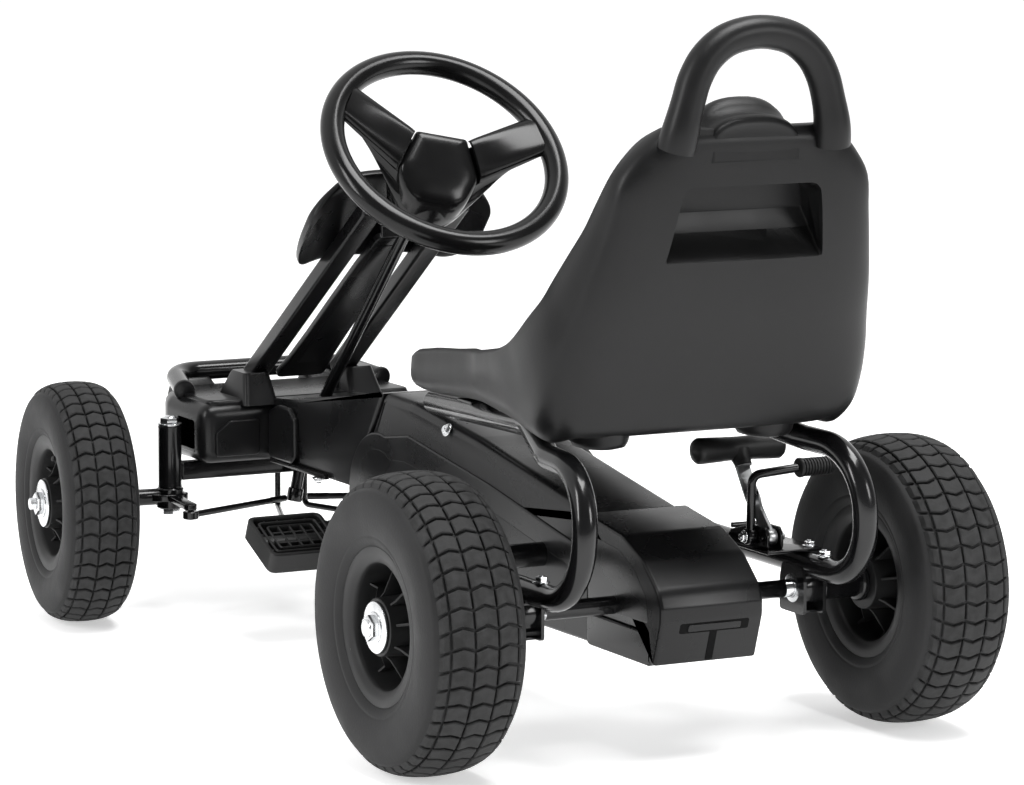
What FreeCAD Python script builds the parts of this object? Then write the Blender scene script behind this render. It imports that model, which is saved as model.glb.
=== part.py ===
import FreeCAD, Part
import Sketcher
import math
import os

# Pedal go kart.
# Axes: +X is the kart's left, +Y is rearwards, +Z is up; the kart faces -Y.
# Pieces are laid out from the ground point below the rear axle, and the cell
# axle_y moves them so that the origin is the centre of the kart's footprint.
# The kart rests with its steering turned a little to the right.

Vector = FreeCAD.Vector
Rotation = FreeCAD.Rotation

doc = FreeCAD.newDocument("pedal_go_kart")
sheet = doc.addObject("Spreadsheet::Sheet", "dims")

DIMENSIONS = [
    ("axle_y", 361.9), ("wheelbase", 757.4), ("rear_track", 480), ("axle_z", 130),
    ("rear_tyre_dia", 260), ("rear_tyre_width", 93), ("rear_bead_radius", 66.3),
    ("front_tyre_dia", 240), ("front_tyre_width", 75), ("front_bead_radius", 65.3),
    ("tyre_wall", 7), ("rim_flange", 4), ("hub_radius", 24), ("rib_count", 8),
    ("rear_hub_length", 77), ("front_hub_length", 66),
    ("rear_axle_radius", 8), ("rear_axle_length", 583.2), ("running_gap", 0.05),
    ("bracket_outer", 153), ("bearing_radius", 10.9), ("stub_radius", 6), ("stub_length", 147.7), ("wheel_offset", 97.2), ("stub_z", 120),
    ("kingpin_x", 142.5), ("kingpin_radius", 6), ("housing_radius", 12),
    ("housing_low", 129), ("housing_high", 192), ("arm_length", 72),
    ("beam_z", 144), ("beam_tall", 18), ("beam_deep", 18), ("beam_y", 764),
    ("spine_wide", 40), ("spine_tall", 30), ("spine_z", 183),
    ("spine_front", 712), ("spine_rear", 60), ("tube_wall", 2),
    ("hoop_tube", 22), ("hoop_low_z", 152), ("cross_y", 140), ("cross_half", 131),
    ("crank_y", 483), ("crank_z", 148), ("crank_length", 91), ("crank_radius", 8),
    ("chain_x", 32), ("chainring_radius", 36.6), ("sprocket_radius", 28.5),
    ("chain_tall", 6), ("chain_wide", 7), ("pedal_x", 96), ("pedal_length", 80),
    ("pedal_deep", 70), ("pedal_tall", 22), ("spindle_radius", 5),
    ("cover_half", 45), ("tail_half", 51), ("nose_half", 122), ("shell_wall", 3),
    ("wheel_ring_radius", 110.7), ("wheel_ring_tube", 11.2), ("steer_y", 426),
    ("steer_z", 488), ("shaft_radius", 6), ("crank_drop", 108), ("elbow_z", 173),
    ("strut_wide", 22), ("strut_thick", 16), ("bumper_tube", 20),
    ("lever_z", 176), ("seat_wall", 8),
]


def fill_sheet():
    for row, (alias, value) in enumerate(DIMENSIONS, start=1):
        sheet.set("A%d" % row, alias)
        sheet.set("B%d" % row, str(value))
        sheet.setAlias("B%d" % row, alias)
    doc.recompute()


fill_sheet()


def dim(alias):
    """The number that a cell of the sheet holds."""
    return float(sheet.get(alias))


STEER_REST = -6.9          # degrees about +Z at both kingpins, turned right
WHEEL_REST = -15.5         # degrees about the steering shaft, turned right
SHAFT_AXIS = Vector(0, math.sqrt(0.5), math.sqrt(0.5))
CRANK_REST = 32.0          # degrees that the left crank arm hangs below forward
PEDAL_TILT = -24.0         # degrees about +X, so that a pedal faces the driver

nodes = []


# ---------------------------------------------------------------- helpers

def bind(obj, **sizes):
    """Bind sizes of an object to expressions of the sheet's cells."""
    for prop, text in sizes.items():
        obj.setExpression(prop, str(text))


def put(obj, at, turn=None):
    """Place an object; each coordinate is an expression."""
    if turn is not None:
        obj.Placement = FreeCAD.Placement(Vector(0, 0, 0), turn)
    for letter, text in zip("xyz", at):
        obj.setExpression("Placement.Base." + letter, str(text))
    return obj


def towards(direction):
    return Rotation(Vector(0, 0, 1), Vector(*direction))


def box(name, size, centre):
    solid = doc.addObject("Part::Box", name)
    bind(solid, Length=size[0], Width=size[1], Height=size[2])
    corner = ["(%s) - (%s) / 2" % (c, s) for c, s in zip(centre, size)]
    return put(solid, corner)


def cylinder(name, radius, height, base, direction=(0, 0, 1)):
    solid = doc.addObject("Part::Cylinder", name)
    bind(solid, Radius=radius, Height=height)
    return put(solid, base, towards(direction))


def hexagon(name, circumradius, height, base, direction=(0, 0, 1)):
    solid = doc.addObject("Part::Prism", name)
    solid.Polygon = 6
    bind(solid, Circumradius=circumradius, Height=height)
    return put(solid, base, towards(direction))


def cut(name, base, tool):
    result = doc.addObject("Part::Cut", name)
    result.Base = base
    result.Tool = tool
    return result


def fuse(name, shapes):
    result = doc.addObject("Part::MultiFuse", name)
    result.Shapes = shapes
    return result


def group(name, shapes):
    """Separate solids that share one node."""
    result = doc.addObject("Part::Compound", name)
    result.Links = shapes
    return result


def origin_plane(body, role):
    for feature in body.Origin.OriginFeatures:
        if feature.Role == role:
            return feature
    raise ValueError(role)


def sketch_on(body, name, role):
    sketch = body.newObject("Sketcher::SketchObject", name)
    sketch.AttachmentSupport = [(origin_plane(body, role), "")]
    sketch.MapMode = "FlatFace"
    return sketch


def draw_outline(sketch, points, tag):
    """A closed polygon whose corners are held by bound distances to the origin."""
    first = sketch.GeometryCount
    for index in range(len(points)):
        start = Vector(index, index * index, 0)
        end = Vector(index + 1, (index + 1) ** 2, 0)
        sketch.addGeometry(Part.LineSegment(start, end), False)
    total = len(points)
    for index in range(total):
        here = first + index
        following = first + (index + 1) % total
        sketch.addConstraint(Sketcher.Constraint("Coincident", here, 2, following, 1))
    for index, pair in enumerate(points):
        for kind, axis, text in (("DistanceX", "x", pair[0]), ("DistanceY", "y", pair[1])):
            constraint = Sketcher.Constraint(kind, -1, 1, first + index, 1, 1.0)
            number = sketch.addConstraint(constraint)
            name = "%s%d%s" % (tag, index, axis)
            sketch.renameConstraint(number, name)
            sketch.setExpression("Constraints." + name, str(text))


def padded(name, role, points, length, holes=()):
    """A prism, centred on its plane, from an outline in that plane."""
    body = doc.addObject("PartDesign::Body", name)
    sketch = sketch_on(body, name + "_outline", role)
    draw_outline(sketch, points, "p")
    for number, hole in enumerate(holes):
        draw_outline(sketch, hole, "q%d_" % number)
    pad = body.newObject("PartDesign::Pad", name + "_pad")
    pad.Profile = sketch
    pad.Midplane = True
    bind(pad, Length=length)
    return body


def revolved(name, points, holes=()):
    """A ring about the X axis, from an outline of (along, radius) corners."""
    body = doc.addObject("PartDesign::Body", name)
    sketch = sketch_on(body, name + "_outline", "XZ_Plane")
    draw_outline(sketch, points, "p")
    for number, hole in enumerate(holes):
        draw_outline(sketch, hole, "q%d_" % number)
    ring = body.newObject("PartDesign::Revolution", name + "_turn")
    ring.Profile = sketch
    ring.ReferenceAxis = (sketch, ["H_Axis"])
    ring.Angle = 360
    return body


def bent_path(corners, radii):
    """Straight runs joined by tangent arcs."""
    edges = []
    start = Vector(*corners[0])
    for index in range(1, len(corners) - 1):
        corner = Vector(*corners[index])
        before = (Vector(*corners[index - 1]) - corner).normalize()
        after = (Vector(*corners[index + 1]) - corner).normalize()
        half_turn = (math.pi - before.getAngle(after)) / 2
        reach = radii[index - 1] * math.tan(half_turn)
        enter = corner + before * reach
        leave = corner + after * reach
        bisector = (before + after).normalize()
        centre = corner + bisector * (radii[index - 1] / math.cos(half_turn))
        middle = centre - bisector * radii[index - 1]
        edges.append(Part.LineSegment(start, enter).toShape())
        edges.append(Part.Arc(enter, middle, leave).toShape())
        start = leave
    edges.append(Part.LineSegment(start, Vector(*corners[-1])).toShape())
    return Part.Wire(edges)


def swept(path, radius):
    start = path.Vertexes[0].Point
    heading = path.Edges[0].tangentAt(path.Edges[0].FirstParameter)
    ring = Part.Wire([Part.Circle(start, heading, radius).toShape()])
    return path.makePipeShell([ring], True, False)


def bent_tube(name, corners, radii, diameter, wall=0):
    """A tube or rod bent along a 3-D path, read from the sheet in code."""
    path = bent_path(corners, radii)
    shape = swept(path, diameter / 2)
    if wall:
        shape = shape.cut(swept(path, diameter / 2 - wall))
    feature = doc.addObject("Part::Feature", name)
    feature.Shape = shape
    return feature


def node(obj, label, at=(0, 0, 0), turn=None):
    """Name a finished sub-part and move it from the rear axle's frame."""
    for letter, value in zip("xyz", at):
        current = [text for path, text in obj.ExpressionEngine
                   if path.endswith("Placement.Base." + letter)]
        own = current[0] if current else "0"
        move = "%s + (%s)" % (own, value)
        if letter == "y":
            move += " + dims.axle_y"
        if turn is None:
            obj.setExpression("Placement.Base." + letter, move)
    if turn is not None:
        moved = (at[0], "(%s) + dims.axle_y" % at[1], at[2])
        put(obj, moved, turn)
    obj.Label = label
    nodes.append(obj)
    return obj


# ---------------------------------------------------------------- wheels

def tyre(name, width, dia, bead):
    half = "dims.%s / 2" % width
    rad = "dims.%s / 2" % dia
    wall = "dims.tyre_wall"
    base = "dims." + bead
    rise = "(%s - %s)" % (rad, base)
    outer = [("0.62 * " + half, base), (half, "%s + 0.38 * %s" % (base, rise)),
             (half, "%s + 0.64 * %s" % (base, rise)), ("0.74 * " + half, rad + " - 5"),
             ("0.36 * " + half, rad)]
    inner = [("0.62 * %s - 6" % half, base),
             ("%s - %s" % (half, wall), "%s + 0.38 * %s" % (base, rise)),
             ("%s - %s" % (half, wall), "%s + 0.60 * %s" % (base, rise)),
             ("0.70 * %s - 3" % half, rad + " - 12")]
    left = outer + [("-(%s)" % x, r) for x, r in reversed(outer)]
    right = [("-(%s)" % x, r) for x, r in inner] + list(reversed(inner))
    return revolved(name, left + right)


def inner_tube(name, width, dia, bead):
    half = "(dims.%s / 2 - 11)" % width
    low = "(dims.%s + 9)" % bead
    high = "(dims.%s / 2 - 16)" % dia

    def ring(inset):
        flat = "%s * 0.5" % half
        return [("-" + flat, "%s + %s" % (low, inset)), (flat, "%s + %s" % (low, inset)),
                ("%s - %s" % (half, inset), "%s + 10" % low),
                ("%s - %s" % (half, inset), "%s - 10" % high),
                (flat, "%s - %s" % (high, inset)), ("-" + flat, "%s - %s" % (high, inset)),
                ("%s - %s" % (inset, half), "%s - 10" % high),
                ("%s - %s" % (inset, half), "%s + 10" % low)]

    return revolved(name, ring("0"), [ring("2")])


def rim(name, half_seat, seat, hub_length, bore):
    """A moulded rim: barrel with two flanges, hub, centre disc and radial ribs."""
    edge = "%s + dims.rim_flange" % half_seat
    hub_end = "dims.%s / 2" % hub_length
    lip = "%s + 4" % seat
    inner = "%s - 7" % seat
    right = [(half_seat, seat), (half_seat, lip), (edge, lip), (edge, inner), ("4", inner),
             ("4", "dims.hub_radius"), (hub_end, "dims.hub_radius"), (hub_end, bore)]
    outline = right + [("-(%s)" % x, r) for x, r in reversed(right)]
    ring = revolved(name + "_ring", outline)
    ribs = []
    for index in range(int(dim("rib_count"))):
        angle = 360.0 * index / dim("rib_count")
        rib = doc.addObject("Part::Box", "%s_rib%d" % (name, index))
        bind(rib, Length="2 * (%s) - 8" % half_seat, Width=3,
             Height="%s - dims.hub_radius + 2" % inner)
        spin = Rotation(Vector(1, 0, 0), angle)
        corner = spin.multVec(Vector(0, -1.5, dim("hub_radius") - 1))
        put(rib, ("4 - (%s)" % half_seat, corner.y, corner.z), spin)
        ribs.append(rib)
    return fuse(name, [ring] + ribs)


def wheel_set(side, name, at, turn):
    """Tyre, inner tube and rim of one wheel; side is front or rear."""
    seat = "dims.%s_bead_radius - 0.3" % side
    bore = "dims.rear_axle_radius + 0.02" if side == "rear" else (
        "dims.stub_radius + dims.running_gap")
    seat_half = "34.5" if side == "rear" else "27"
    tyre_body = tyre(name + "_tyre_body", side + "_tyre_width", side + "_tyre_dia",
                     side + "_bead_radius")
    node(tyre_body, name.replace("wheel", "tyre"), at, turn)
    rim_body = rim(name + "_rim_body", seat_half, seat, side + "_hub_length", bore)
    node(rim_body, name.replace("wheel", "rim"), at, turn)
    tube = inner_tube(name + "_tube_body", side + "_tyre_width", side + "_tyre_dia",
                      side + "_bead_radius")
    return tube


def nut_with_washer(name, x, sign, washer_radius, bore):
    """A hexagon nut and a washer on an axle along X; x is the washer's inner face."""
    direction = (sign, 0, 0)
    washer = cylinder(name + "_washer", washer_radius, 2.5, (x, 0, 0), direction)
    nut = hexagon(name + "_nut", 11, 7, ("%s + %s * 2.5" % (x, sign), 0, 0), direction)
    body = fuse(name + "_pair", [washer, nut])
    hole = cylinder(name + "_hole", bore, 20, ("%s - %s * 5" % (x, sign), 0, 0), direction)
    return cut(name, body, hole)


def rear_wheels():
    tubes = []
    for side, sign in (("left", 1), ("right", -1)):
        centre = ("%d * dims.rear_track / 2" % sign, 0, "dims.axle_z")
        tube = wheel_set("rear", "rear_wheel_" + side, centre, Rotation())
        tubes.append(put(tube, centre))
    node(group("rear_tubes", tubes), "rear_inner_tubes")
    axle = cylinder("axle_rod", "dims.rear_axle_radius", "dims.rear_axle_length",
                    ("-dims.rear_axle_length / 2", 0, "dims.axle_z"), (1, 0, 0))
    node(axle, "rear_axle")
    nuts = []
    for side, sign in (("left", 1), ("right", -1)):
        face = "%d * (dims.rear_track / 2 + dims.rear_hub_length / 2 + 0.3)" % sign
        pair = nut_with_washer("axle_nut_" + side, face, sign, 22.5,
                               "dims.rear_axle_radius + 0.02")
        nuts.append(put(pair, (0, 0, "dims.axle_z")))
    node(group("axle_nuts", nuts), "rear_axle_nuts")
    spacers = []
    for sign in (1, -1):
        tag = str(sign + 1)
        near = ("%d * (dims.bracket_outer + 0.3)" % sign, 0, "dims.axle_z")
        length = "dims.rear_track / 2 - dims.rear_hub_length / 2 - dims.bracket_outer - 0.6"
        sleeve = cylinder("spacer_" + tag, 13.5, length, near, (sign, 0, 0))
        bore = cylinder("spacer_bore_" + tag, "dims.rear_axle_radius + 0.02", 90,
                        (130 * sign, 0, "dims.axle_z"), (sign, 0, 0))
        spacers.append(cut("spacer_cut_" + tag, sleeve, bore))
    node(group("spacers", spacers), "axle_spacers")


# ---------------------------------------------------------------- front steering

def yaw(degrees):
    return Rotation(Vector(0, 0, 1), degrees)


def kingpin_point(sign):
    return ("%d * dims.kingpin_x" % sign, "-dims.wheelbase", "dims.stub_z")


def knuckle(side, sign):
    """Stub axle, boss and steering arm; local origin on the kingpin's axis."""
    boss = cylinder("boss_" + side, 14, 20.8, (0, 0, -12))
    plate = box("plate_" + side, (34, 34, 7), (2 * sign, 2, 0))
    arm = box("arm_" + side, (13, "dims.arm_length + 6", 6),
              (0, "dims.arm_length / 2 + 3", 0))
    collar = cylinder("collar_" + side, 8.5, 60, (0, 0, 0), (sign, 0, 0))
    stub = cylinder("stub_" + side, "dims.stub_radius", "dims.stub_length",
                    (0, 0, 0), (sign, 0, 0))
    pin = cylinder("arm_pin_" + side, 3, 14, (0, "dims.arm_length", -13))
    solid = fuse("knuckle_solid_" + side, [boss, plate, arm, collar, stub, pin])
    hole = cylinder("kingpin_hole_" + side, "dims.kingpin_radius + 0.02", 60, (0, 0, -30))
    return cut("knuckle_cut_" + side, solid, hole)


def kingpin(side):
    """Kingpin bolt with its head below and its washer and nut above the housing."""
    pin = cylinder("pin_" + side, "dims.kingpin_radius", 100, (0, 0, -18))
    head = hexagon("pin_head_" + side, 10, 6, (0, 0, -18.2))
    top = "dims.housing_high - dims.stub_z + 0.3"
    washer = cylinder("pin_washer_" + side, 12.5, 2, (0, 0, top))
    nut = hexagon("pin_nut_" + side, 10, 6.5, (0, 0, top + " + 2"))
    return fuse("kingpin_" + side, [pin, head, washer, nut])


def crank_point():
    """Lower end of the steering shaft's bent leg at rest."""
    foot = Vector(0, -dim("steer_y"), dim("steer_z"))
    depth = dim("steer_z") - dim("elbow_z")
    straight = foot + Vector(0, -depth, -depth)
    end = Vector(0, straight.y, dim("crank_drop"))
    turn = Rotation(SHAFT_AXIS, WHEEL_REST)
    return foot + turn.multVec(end - foot)


def arm_end(sign):
    base = Vector(sign * dim("kingpin_x"), -dim("wheelbase"), dim("stub_z"))
    return base + yaw(STEER_REST).multVec(Vector(0, dim("arm_length"), -8))


def tie_rod(side, sign):
    """Rod from the knuckle arm's pin to just short of the shaft's crank block."""
    eye_at = arm_end(sign)
    block = crank_point()
    block.z = eye_at.z
    reach = block - eye_at
    length = reach.Length - 12.5
    heading = reach.normalize()
    rod = doc.addObject("Part::Cylinder", "rod_" + side)
    rod.Radius = 3.5
    rod.Height = length
    rod.Placement = FreeCAD.Placement(eye_at, Rotation(Vector(0, 0, 1), heading))
    eye = doc.addObject("Part::Cylinder", "eye_" + side)
    eye.Radius = 8
    eye.Height = 8
    eye.Placement.Base = eye_at - Vector(0, 0, 4)
    hole = doc.addObject("Part::Cylinder", "eye_hole_" + side)
    hole.Radius = 3.08
    hole.Height = 20
    hole.Placement.Base = eye_at - Vector(0, 0, 10)
    return cut("tie_rod_cut_" + side, fuse("tie_rod_solid_" + side, [rod, eye]), hole)


def front_corner(side, sign):
    steer = yaw(STEER_REST)
    origin = kingpin_point(sign)
    node(knuckle(side, sign), "knuckle_" + side, origin, steer)
    node(kingpin(side), "kingpin_bolt_" + side, origin, steer)
    face = "%d * (dims.wheel_offset + dims.front_hub_length / 2 + 0.5)" % sign
    nut = nut_with_washer("stub_nut_" + side, face, sign, 24, "dims.stub_radius + 0.02")
    node(nut, "front_axle_nut_" + side, origin, steer)
    shift = steer.multVec(Vector(sign * dim("wheel_offset"), 0, 0))
    hub = ("%s + %f" % (origin[0], shift.x), "%s + %f" % (origin[1], shift.y), origin[2])
    tube = wheel_set("front", "front_wheel_" + side, hub, steer)
    node(tube, "front_inner_tube_" + side, hub, steer)
    node(tie_rod(side, sign), "tie_rod_" + side)


# ---------------------------------------------------------------- frame

def front_beam():
    span = "2 * (dims.kingpin_x - dims.housing_radius + 4)"
    beam = box("beam_bar", (span, "dims.beam_deep", "dims.beam_tall"),
               (0, "-dims.beam_y", "dims.beam_z"))
    void = box("beam_void", (span + " - 6", "dims.beam_deep - 2 * dims.tube_wall",
                             "dims.beam_tall - 2 * dims.tube_wall"),
               (0, "-dims.beam_y", "dims.beam_z"))
    hollow = cut("beam_hollow", beam, void)
    housings = []
    bores = []
    for sign in (1, -1):
        base = ("%d * dims.kingpin_x" % sign, "-dims.wheelbase", "dims.housing_low")
        housings.append(cylinder("housing_%d" % (sign + 1), "dims.housing_radius",
                                 "dims.housing_high - dims.housing_low", base))
        bores.append(cylinder("housing_bore_%d" % (sign + 1),
                              "dims.kingpin_radius + dims.running_gap", 90,
                              (base[0], base[1], "dims.housing_low - 10")))
    plates = []
    for sign in (1, -1):
        plates.append(box("yoke_%d" % (sign + 1), (4, 106, 46),
                          ("%d * (dims.spine_wide / 2 + 2.1)" % sign,
                           "-dims.beam_y + dims.beam_deep / 2 + 39", 175)))
    solid = fuse("beam_solid", [hollow] + housings + plates)
    node(cut("beam_cut", solid, group("housing_bores", bores)), "front_beam")


def shaft_point(distance):
    """A point on the steering shaft's axis, at a distance below the wheel's centre."""
    drop = distance * math.sqrt(0.5)
    return (0, "-dims.steer_y - %f" % drop, "dims.steer_z - %f" % drop)


def main_frame():
    """Square spine, the cross tube that carries the hoops, and its saddle."""
    length = "dims.spine_front - dims.spine_rear"
    centre = (0, "-(dims.spine_front + dims.spine_rear) / 2", "dims.spine_z")
    outer = box("spine_outer", ("dims.spine_wide", length, "dims.spine_tall"), centre)
    inner = box("spine_inner", ("dims.spine_wide - 2 * dims.tube_wall", length + " + 4",
                                "dims.spine_tall - 2 * dims.tube_wall"), centre)
    spine = cut("spine", outer, inner)
    cross = cylinder("cross_tube", "dims.hoop_tube / 2", "2 * dims.cross_half",
                     ("-dims.cross_half", "-dims.cross_y", "dims.hoop_low_z"), (1, 0, 0))
    saddle = box("saddle", (34, 18, 10), (0, "-dims.cross_y", "dims.hoop_low_z + 11"))
    bush = cylinder("shaft_clear", 11.2, 100, shaft_point(480), (0, 1, 1))
    node(cut("frame_cut", fuse("frame_solid", [spine, cross, saddle]), bush), "main_frame")


def hoop(side, sign):
    """Bent tube from the top of the chain cover, round behind, to the cross tube."""
    low = dim("hoop_low_z")
    corners = [(48 * sign, -352, 262), (100 * sign, -62, 283), (127 * sign, 20, 268),
               (135 * sign, 107, 266), (141 * sign, 107, low), (141 * sign, -165, low)]
    tube = bent_tube("hoop_" + side, corners, [90, 60, 55, 55], dim("hoop_tube"),
                     dim("tube_wall"))
    socket = doc.addObject("Part::Cylinder", "hoop_socket_" + side)
    socket.Radius = dim("hoop_tube") / 2 + 0.05
    socket.Height = dim("cross_half") + 0.3
    socket.Placement = FreeCAD.Placement(Vector(0, -dim("cross_y"), low),
                                         towards((sign, 0, 0)))
    node(cut("hoop_cut_" + side, tube, socket), "rear_hoop_" + side)


def axle_supports():
    """Bearing brackets saddled under the hoops, and the bearings in them."""
    brackets = []
    bearings = []
    for sign in (1, -1):
        tag = str(sign + 1)
        block = box("bracket_block_" + tag, (24, 42, 44), (141 * sign, 0, 130))
        leg = cylinder("bracket_saddle_" + tag, "dims.hoop_tube / 2 + 0.1", 60,
                       (141 * sign, -30, "dims.hoop_low_z"), (0, 1, 0))
        seat = cylinder("bracket_bore_" + tag, "dims.bearing_radius + 0.05", 40,
                        (121 * sign, 0, "dims.axle_z"),
                        (sign, 0, 0))
        brackets.append(cut("bracket_" + tag, cut("bracket_a_" + tag, block, leg), seat))
        ring = cylinder("bearing_ring_" + tag, "dims.bearing_radius", 24,
                        (129 * sign, 0, "dims.axle_z"), (sign, 0, 0))
        hole = cylinder("bearing_hole_" + tag, "dims.rear_axle_radius + dims.running_gap",
                        40, (121 * sign, 0, "dims.axle_z"), (sign, 0, 0))
        bearings.append(cut("bearing_" + tag, ring, hole))
    node(group("brackets", brackets), "axle_brackets")
    node(group("bearings", bearings), "axle_bearings")


def bottom_bracket():
    shell = cylinder("shell_tube", 19.5, 63, (-29, "-dims.crank_y", "dims.crank_z"), (1, 0, 0))
    saddle = box("shell_saddle", (30, 24, 8), (0, "-dims.crank_y", 163.9))
    bore = cylinder("shell_bore", "dims.crank_radius + dims.running_gap", 90,
                    (-45, "-dims.crank_y", "dims.crank_z"), (1, 0, 0))
    node(cut("shell_cut", fuse("shell_solid", [shell, saddle]), bore), "bottom_bracket")


def rectangle(wide, deep):
    half_wide = "(%s) / 2" % wide
    half_deep = "(%s) / 2" % deep
    return [("-" + half_wide, "-" + half_deep), (half_wide, "-" + half_deep),
            (half_wide, half_deep), ("-" + half_wide, half_deep)]


def bar_between(name, low, high, wide, thick):
    """A rectangular bar from low to high, its width as near across the kart as it goes."""
    run = high - low
    body = padded(name, "XY_Plane", rectangle(wide, thick), run.Length)
    along = Vector(run).normalize()
    across = Vector(1, 0, 0)
    face = along.cross(across).normalize()
    across = face.cross(along)
    matrix = FreeCAD.Matrix(across.x, face.x, along.x, 0, across.y, face.y, along.y, 0,
                            across.z, face.z, along.z, 0, 0, 0, 0, 1)
    middle = (low + high) / 2
    put(body, (middle.x, middle.y, middle.z), FreeCAD.Placement(matrix).Rotation)
    return body


STRUT_TOP = Vector(46, -490, 431.2)
STRUT_FOOT = Vector(48, -757, 240)


def column():
    """Two struts that carry the upper steering bush, with the panel between them."""
    struts = []
    for sign in (1, -1):
        tag = str(sign + 1)
        top = Vector(STRUT_TOP.x * sign, STRUT_TOP.y, STRUT_TOP.z)
        foot = Vector(STRUT_FOOT.x * sign, STRUT_FOOT.y, STRUT_FOOT.z)
        bar = bar_between("strut_bar_" + tag, foot, top, "dims.strut_wide",
                          "dims.strut_thick")
        post = box("strut_post_" + tag, (20, 16, 84), (49 * sign, -757, 195.3))
        struts.append(fuse("strut_" + tag, [bar, post]))
    node(group("struts", struts), "column_struts")
    panel = bar_between("panel_bar", Vector(0, -757, 236), Vector(0, -538, 397), 44, 8)
    node(panel, "column_panel")


def steering_bushes():
    """Upper bush in its cross plate between the struts, and lower bush in the spine."""
    foot = Vector(0, -dim("steer_y"), dim("steer_z"))
    upper = foot - SHAFT_AXIS * 112
    lower = foot - SHAFT_AXIS * 440
    parts = []
    for tag, start, length in (("upper", upper, 36), ("lower", lower, 48)):
        ring = cylinder("bush_" + tag, 11, length, (0, start.y, start.z), (0, 1, 1))
        solid = ring
        if tag == "upper":
            plate = box("bush_plate", (69.6, 5, 34), (0, start.y + 12, start.z + 10))
            solid = fuse("bush_solid", [ring, plate])
        hole = cylinder("bush_hole_" + tag, "dims.shaft_radius + dims.running_gap", 90,
                        (0, start.y - 14, start.z - 14), (0, 1, 1))
        parts.append(cut("bush_cut_" + tag, solid, hole))
    node(group("bushes", parts), "steering_bushes")


def shield():
    """Number shield on the front of the column, tilted with it."""
    points = [(-98, 4), (-86, 38), (-40, 56), (40, 56), (86, 38), (98, 4), (88, -30),
              (44, -44), (-44, -44), (-88, -30)]
    body = padded("shield_plate", "XY_Plane", points, 14)
    rise = math.atan2(STRUT_TOP.z - STRUT_FOOT.z, STRUT_TOP.y - STRUT_FOOT.y)
    node(body, "shield_panel", (0, -557, 403.6), Rotation(Vector(1, 0, 0), math.degrees(rise)))


BUMPER_PATH = [(110, -796, 221), (92, -866, 229), (-92, -866, 229), (-110, -796, 221)]


def bumper():
    tube = bent_tube("bumper_tube_shape", BUMPER_PATH, [34, 34], dim("bumper_tube"),
                     dim("tube_wall"))
    node(tube, "front_bumper")
    caps = []
    for sign in (1, -1):
        heading = (18 * sign, 70, -8)
        cap = cylinder("cap_%d" % (sign + 1), 11, 6, (110.1 * sign, -795.6, 220.9), heading)
        caps.append(cap)
    node(group("caps", caps), "bumper_caps")


def guard():
    """Bent guard rods below the front beam with a ribbed sleeve across them."""
    rods = []
    for sign in (1, -1):
        corners = [(15 * sign, -776.2, 150), (15 * sign, -776.2, 97),
                   (44 * sign, -700, 97), (44 * sign, -654, 94)]
        rods.append(bent_tube("guard_rod_%d" % (sign + 1), corners, [7, 12], 6))
    node(group("guard_rods", rods), "front_guard_rods")
    sleeve = cylinder("sleeve_bar", 9, 104, (-52, -644.8, 94), (1, 0, 0))
    node(sleeve, "front_guard_sleeve")


# ---------------------------------------------------------------- covers

def nose():
    """Front fairing: a wide rounded nose that narrows to the chain cover's seam."""
    wide = "dims.nose_half"

    def plan(inset):
        side = "(%s - %s)" % (wide, inset)
        return [(side, -722 - inset), (side, -815 + inset), ("%s - 14" % side, -850 + inset),
                ("%s - 44" % side, -876 + inset), ("44 - " + side, -876 + inset),
                ("14 - " + side, -850 + inset), ("-" + side, -815 + inset),
                ("-" + side, -722 - inset)]

    outer_block = padded("nose_block", "XY_Plane", plan(0), 62)
    put(outer_block, (0, 0, 184.5))
    inner_block = padded("nose_void", "XY_Plane", plan(3), 66)
    put(inner_block, (0, 0, 179.5))
    neck = [(-724, 153.5), (-724, 219), (-657, 225), (-594, 236), (-469, 255),
            (-515, 190), (-524, 153.5)]
    hollow = [(-760, 140), (-760, 212), (-720, 216), (-657, 222), (-594, 233), (-450, 255),
              (-490, 140)]
    outer_neck = padded("neck_block", "YZ_Plane", neck, "2 * dims.cover_half")
    inner_neck = padded("neck_void", "YZ_Plane", hollow, "2 * (dims.cover_half - dims.shell_wall)")
    tools = [inner_block, inner_neck]
    for sign in (1, -1):
        tools.append(box("strut_pocket_%d" % (sign + 1), (30, 44, 90),
                         (49 * sign, -757, 232)))
    tools.append(box("beam_slot", (300, 24, 12), (0, "-dims.beam_y", 150)))
    tools.append(cylinder("nose_shaft_hole", 12, 90, shaft_point(400), (0, 1, 1)))
    for sign in (1, -1):
        tools.append(cylinder("bumper_relief_%d" % (sign + 1), 13, 90,
                              (113.6 * sign, -782, 219.4), (-18 * sign, -70, 8)))
    node(cut("nose_cut", fuse("nose_solid", [outer_block, outer_neck]),
             fuse("nose_tools", tools)), "nose_fairing")


def chain_cover():
    outer = [(-514, 190), (-468, 255), (-406, 254), (-275, 239), (-51, 203), (-51, 84),
             (-480, 80), (-510, 90), (-530, 126), (-530, 152.2), (-522.5, 152.8)]
    inner = [(-560, 200), (-468, 252), (-406, 251), (-275, 236), (-40, 198), (-40, 87),
             (-480, 83), (-507, 93), (-527, 127), (-527, 151), (-560, 160)]
    shell = padded("cover_block", "YZ_Plane", outer, "2 * dims.cover_half")
    void = padded("cover_void", "YZ_Plane", inner, "2 * (dims.cover_half - dims.shell_wall)")
    crank_hole = cylinder("cover_crank_hole", 21, 140, (-70, "-dims.crank_y", "dims.crank_z"),
                          (1, 0, 0))
    cross_hole = cylinder("cover_cross_hole", 13, 140, (-70, "-dims.cross_y",
                                                         "dims.hoop_low_z"), (1, 0, 0))
    node(cut("cover_cut", shell, fuse("cover_tools", [void, crank_hole, cross_hole])),
         "chain_cover")


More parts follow.
